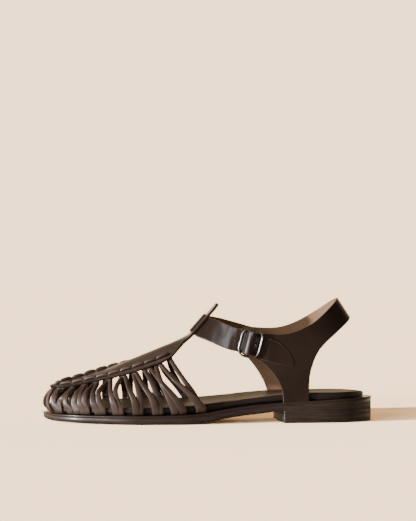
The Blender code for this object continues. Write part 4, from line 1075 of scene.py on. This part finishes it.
# %% Strap path
STRAP_WIDTH, STRAP_THICKNESS = 18.0, 1.6
# Rows of x, y, z and the lean of the band in degrees.
STRAP_LATERAL = [
    (-2.6, -14.5, 73.6, 52), (3.8, -20.9, 71.3, 57), (11.5, -25.8, 67.9, 64),
    (18, -28.4, 65.5, 70)]
STRAP_MEDIAL = [
    (-2.4, 15.3, 74.4, 52), (4.2, 21.4, 72.9, 58), (12.5, 26.2, 70.9, 65), (22, 28.9, 68.2, 71),
    (33, 30.2, 65, 75), (45.5, 30.6, 61.8, 78)]
# Rows of y and lift over the tab.
CROSSING = [(0, 1.1), (3, 1.1), (3.6, 0.95), (6.2, -3), (6.9, -3.25), (11.2, -3.7)]
# Rows of the way along the strap and the height over the buckle.
BUCKLE_LIFT = [
    (-8.6, -2.15), (-5.4, -2.15), (-4.3, -1.5), (-2.9, 0.4), (-1.5, 1.8), (0, 2.2), (1.5, 1.8),
    (2.9, 0.4), (4.3, -1.5), (5.4, -2.15), (8.6, -2.15)]
# Rows of x, z and half width.
STRAP_END = [
    (41.6, 58.5, 9), (48.1, 56, 8.6), (54.8, 52.4, 6.9), (60, 48.9, 4.9), (62.6, 46.4, 3.2),
    (63.8, 44.7, 1.9), (64.4, 43.8, 0.8)]


def strap_rows():
    """Place, lean and half width of the strap, from its inner end to its free tip."""
    half, flat, steep = STRAP_WIDTH / 2, degrees(TAB_ANGLE), 90 - degrees(BUCKLE_TILT)
    crossing = CROSSING[::-1] + [(-y, lift) for y, lift in CROSSING[1:]]
    rows = [(*r, half) for r in refine(STRAP_MEDIAL, 3)[::-1]]
    rows += [(*tab_point(CROSSING_ALONG, y, lift), flat, half) for y, lift in crossing]
    rows += [(*r, half) for r in refine(STRAP_LATERAL, 3)]
    rows += [(*in_buckle(along, 0, lift), steep, half) for along, lift in BUCKLE_LIFT]
    for x, z, half in STRAP_END:
        rows.append((x, -(float(ankle_y(x, z, -1)) + STRAP_THICKNESS / 2 + 0.04), z, steep - 3, half))
    return along_path(rows, 0.8)


def soften(rows, times):
    """Takes kinks out of a path and leaves its ends where they are."""
    for _ in range(times):
        rows[1:-1] = rows[:-2] * 0.25 + rows[1:-1] * 0.5 + rows[2:] * 0.25
    return rows


strap_path = soften(strap_rows(), 3)
print("strap length:", round(float(np.linalg.norm(np.diff(strap_path[:, :3], axis=0), axis=1).sum())), "mm")

# %% Strap leather
# Troughs across the outer side of the strap: x, depth, width and slant.
CREASES = [
    (3, 0.35, 2.6, 0.25), (10, 0.25, 3.4, -0.15), (18.6, 0.3, 2.4, 0.2), (22.8, 0.25, 1.6, 0.1),
    (32.4, 0.3, 1, 0), (43, 0.25, 2.2, 0.15)]
PARED, PARED_OVER = 1.25, (42.0, 55.0)  # the free end gets this much thinner between two x
SPARE_HOLES = [(19.6, 1.0), (44.4, 1.0)]


def strap_grid(path, columns=19):
    tangents = unit(np.gradient(path[:, :3], axis=0))
    share = np.linspace(-1, 1, columns)
    grid = []
    for (x, y, z, lean, half), t in zip(path, tangents):
        w = np.array([cos(radians(lean)), 0, sin(radians(lean))])
        w = unit(w - t * np.dot(w, t))
        n = np.cross(t, w)
        grid.append((x, y, z) + n * STRAP_THICKNESS / 2 + w * (half * share)[:, None])
    return np.array(grid)


def strap_relief(grid):
    relief = np.zeros(grid.shape[:2])
    outer_side = grid[..., 1] < -10
    middle_z = grid[:, grid.shape[1] // 2, 2][:, None]
    for x, depth, width, slant in CREASES:
        away = (grid[..., 0] - x - slant * (grid[..., 2] - middle_z)) / width
        relief -= depth * np.exp(-away ** 2)
    return np.where(outer_side, relief - PARED * smoothstep(*PARED_OVER, grid[..., 0]), 0)


def pin(name, path, radius):
    points, faces = rolled_rings(path, 2 * radius, 2 * radius, over_strap, 16, 2.0)
    return make_piece(name, points, faces, STRAP_SET, [1] * len(faces))


strap_points = strap_grid(strap_path)
strap = wall("ankle_band", strap_points, STRAP_THICKNESS, 0.6, STRAP_SET, strap_relief(strap_points))
prong_way = [in_buckle(t, 0, n) for t, n in [(0.6, 0.5), *PRONG_REACH, (7.0, 1.1)]]
holes = [pin("prong_hole", prong_way, PRONG_WIRE + PRONG_PLAY)]
for x, radius in SPARE_HOLES:
    near = strap_points[np.argmin(np.abs(strap_path[:, 0] - x) + np.where(strap_path[:, 1] < -15, 0, 999))]
    middle = near[len(near) // 2]
    way = np.cross(along_strap, unit(near[-1] - near[0]))
    holes.append(pin("spare_hole", [middle - way * 3, middle, middle + way * 3], radius))
cut(strap, holes)
seat_piece(strap, "ankle_strap")

# %% [markdown]
# ## Floor and light
# The shoe stands on seamless paper: one warm pale sheet that runs on behind it, so the floor and the wall
# can't be told apart. Around it is a tent of warm light, bright behind the shoe, dimmer in front and dark
# overhead, so that the leather shows long soft sheens and still has dark sides. A low key lamp at the
# front left rakes along the weave and lays a thin shadow behind the heel, and a wide weak lamp further
# to the front opens the darkest parts. What the paper gives back to the shoe is set apart from how bright
# it looks.

# %% Paper and air
SEEN_PAPER = (3.16, 2.23, 1.45)         # brightness of the lit sheet as the camera records it
PAPER = (0.60, 0.50, 0.38)              # what it gives back to the shoe
PAPER_GAIN = (6.9, 4.95, 3.2)
BACK_AIR = (2.4, 1.78, 1.15)
FRONT_AIR = (0.54, 0.42, 0.31)
TOP_AIR = (0.03, 0.024, 0.016)
AIR_DEPTH = (-0.35, 0.6)                # from the front of the tent to its back
AIR_TOP = (0.42, 0.12)                  # from its dark roof down to its walls
MIX_FIRST, MIX_SECOND, MIX_RESULT = 6, 7, 2


def show_apart(tree, kind, lighting, seen, output):
    """Ends a tree in two shaders: one lights the shoe, the other is what the camera sees."""
    both = add_node(tree, "MixShader")
    link(add_node(tree, "LightPath"), "Is Camera Ray", both, "Fac")
    link(lighting, kind, both, 1)
    link(seen, kind, both, 2)
    link(both, "Shader", add_node(tree, output), "Surface")


def fade(tree, split, axis, start, end):
    """Runs softly from 0 to 1 between two heights or depths of the air."""
    node = add_node(tree, "MapRange", From_Min=start, From_Max=end)
    node.interpolation_type = "SMOOTHSTEP"
    link(split, axis, node, "Value")
    return node


def blend(tree, factor, first, second=(0, 0, 0)):
    """A colour between first and second; Blender's colour sockets here go by number."""
    node = add_node(tree, "Mix")
    node.data_type = "RGBA"
    link(factor, "Result", node, 0)
    for socket, colour in ((MIX_FIRST, first), (MIX_SECOND, second)):
        node.inputs[socket].default_value = (*colour, 1.0)
    return node


def paper_finish():
    material = bpy.data.materials.new("seamless_paper")
    tree = empty_tree(material)
    plain, seen = (add_node(tree, "BsdfDiffuse", Color=(*tone, 1.0)) for tone in (PAPER, PAPER_GAIN))
    show_apart(tree, "BSDF", plain, seen, "OutputMaterial")
    return material


def studio_air():
    world = bpy.data.worlds.new("studio_air")
    tree = empty_tree(world)
    split = add_node(tree, "SeparateXYZ")
    link(add_node(tree, "TexCoord"), "Generated", split, "Vector")
    level = blend(tree, fade(tree, split, "Y", *AIR_DEPTH), FRONT_AIR, BACK_AIR)
    air = blend(tree, fade(tree, split, "Z", *AIR_TOP), TOP_AIR)
    link(level, MIX_RESULT, air, MIX_SECOND)
    lighting = add_node(tree, "Background")
    link(air, MIX_RESULT, lighting, "Color")
    seen = add_node(tree, "Background", Color=(*SEEN_PAPER, 1.0))
    show_apart(tree, "Background", lighting, seen, "OutputWorld")
    bpy.context.scene.world = world


bpy.ops.mesh.primitive_circle_add(vertices=96, radius=9.0, fill_type="NGON", location=(0, 0, 0))
floor = bpy.context.object
floor.name = "paper_floor"
floor.data.materials.append(paper_finish())
studio_air()
print("paper laid")

# %% Lamps
def far_lamp(name, power, colour, turn, rise, softness):
    """Light from far away: turn is from the toe towards the viewer, rise is above the floor."""
    data = bpy.data.lights.new(name, "SUN")
    data.energy, data.color, data.angle = power, colour, radians(softness)
    holder = put_in_scene(name, data)
    turn, rise = radians(turn), radians(rise)
    comes_from = Vector((-cos(turn) * cos(rise), -sin(turn) * cos(rise), sin(rise)))
    holder.rotation_euler = comes_from.to_track_quat("Z", "Y").to_euler()


far_lamp("key_lamp", 7.6, (0.97, 0.98, 1.0), 22, 7.0, 2.0)
far_lamp("soft_lamp", 1.3, (0.92, 0.96, 1.0), 56, 9, 20.0)
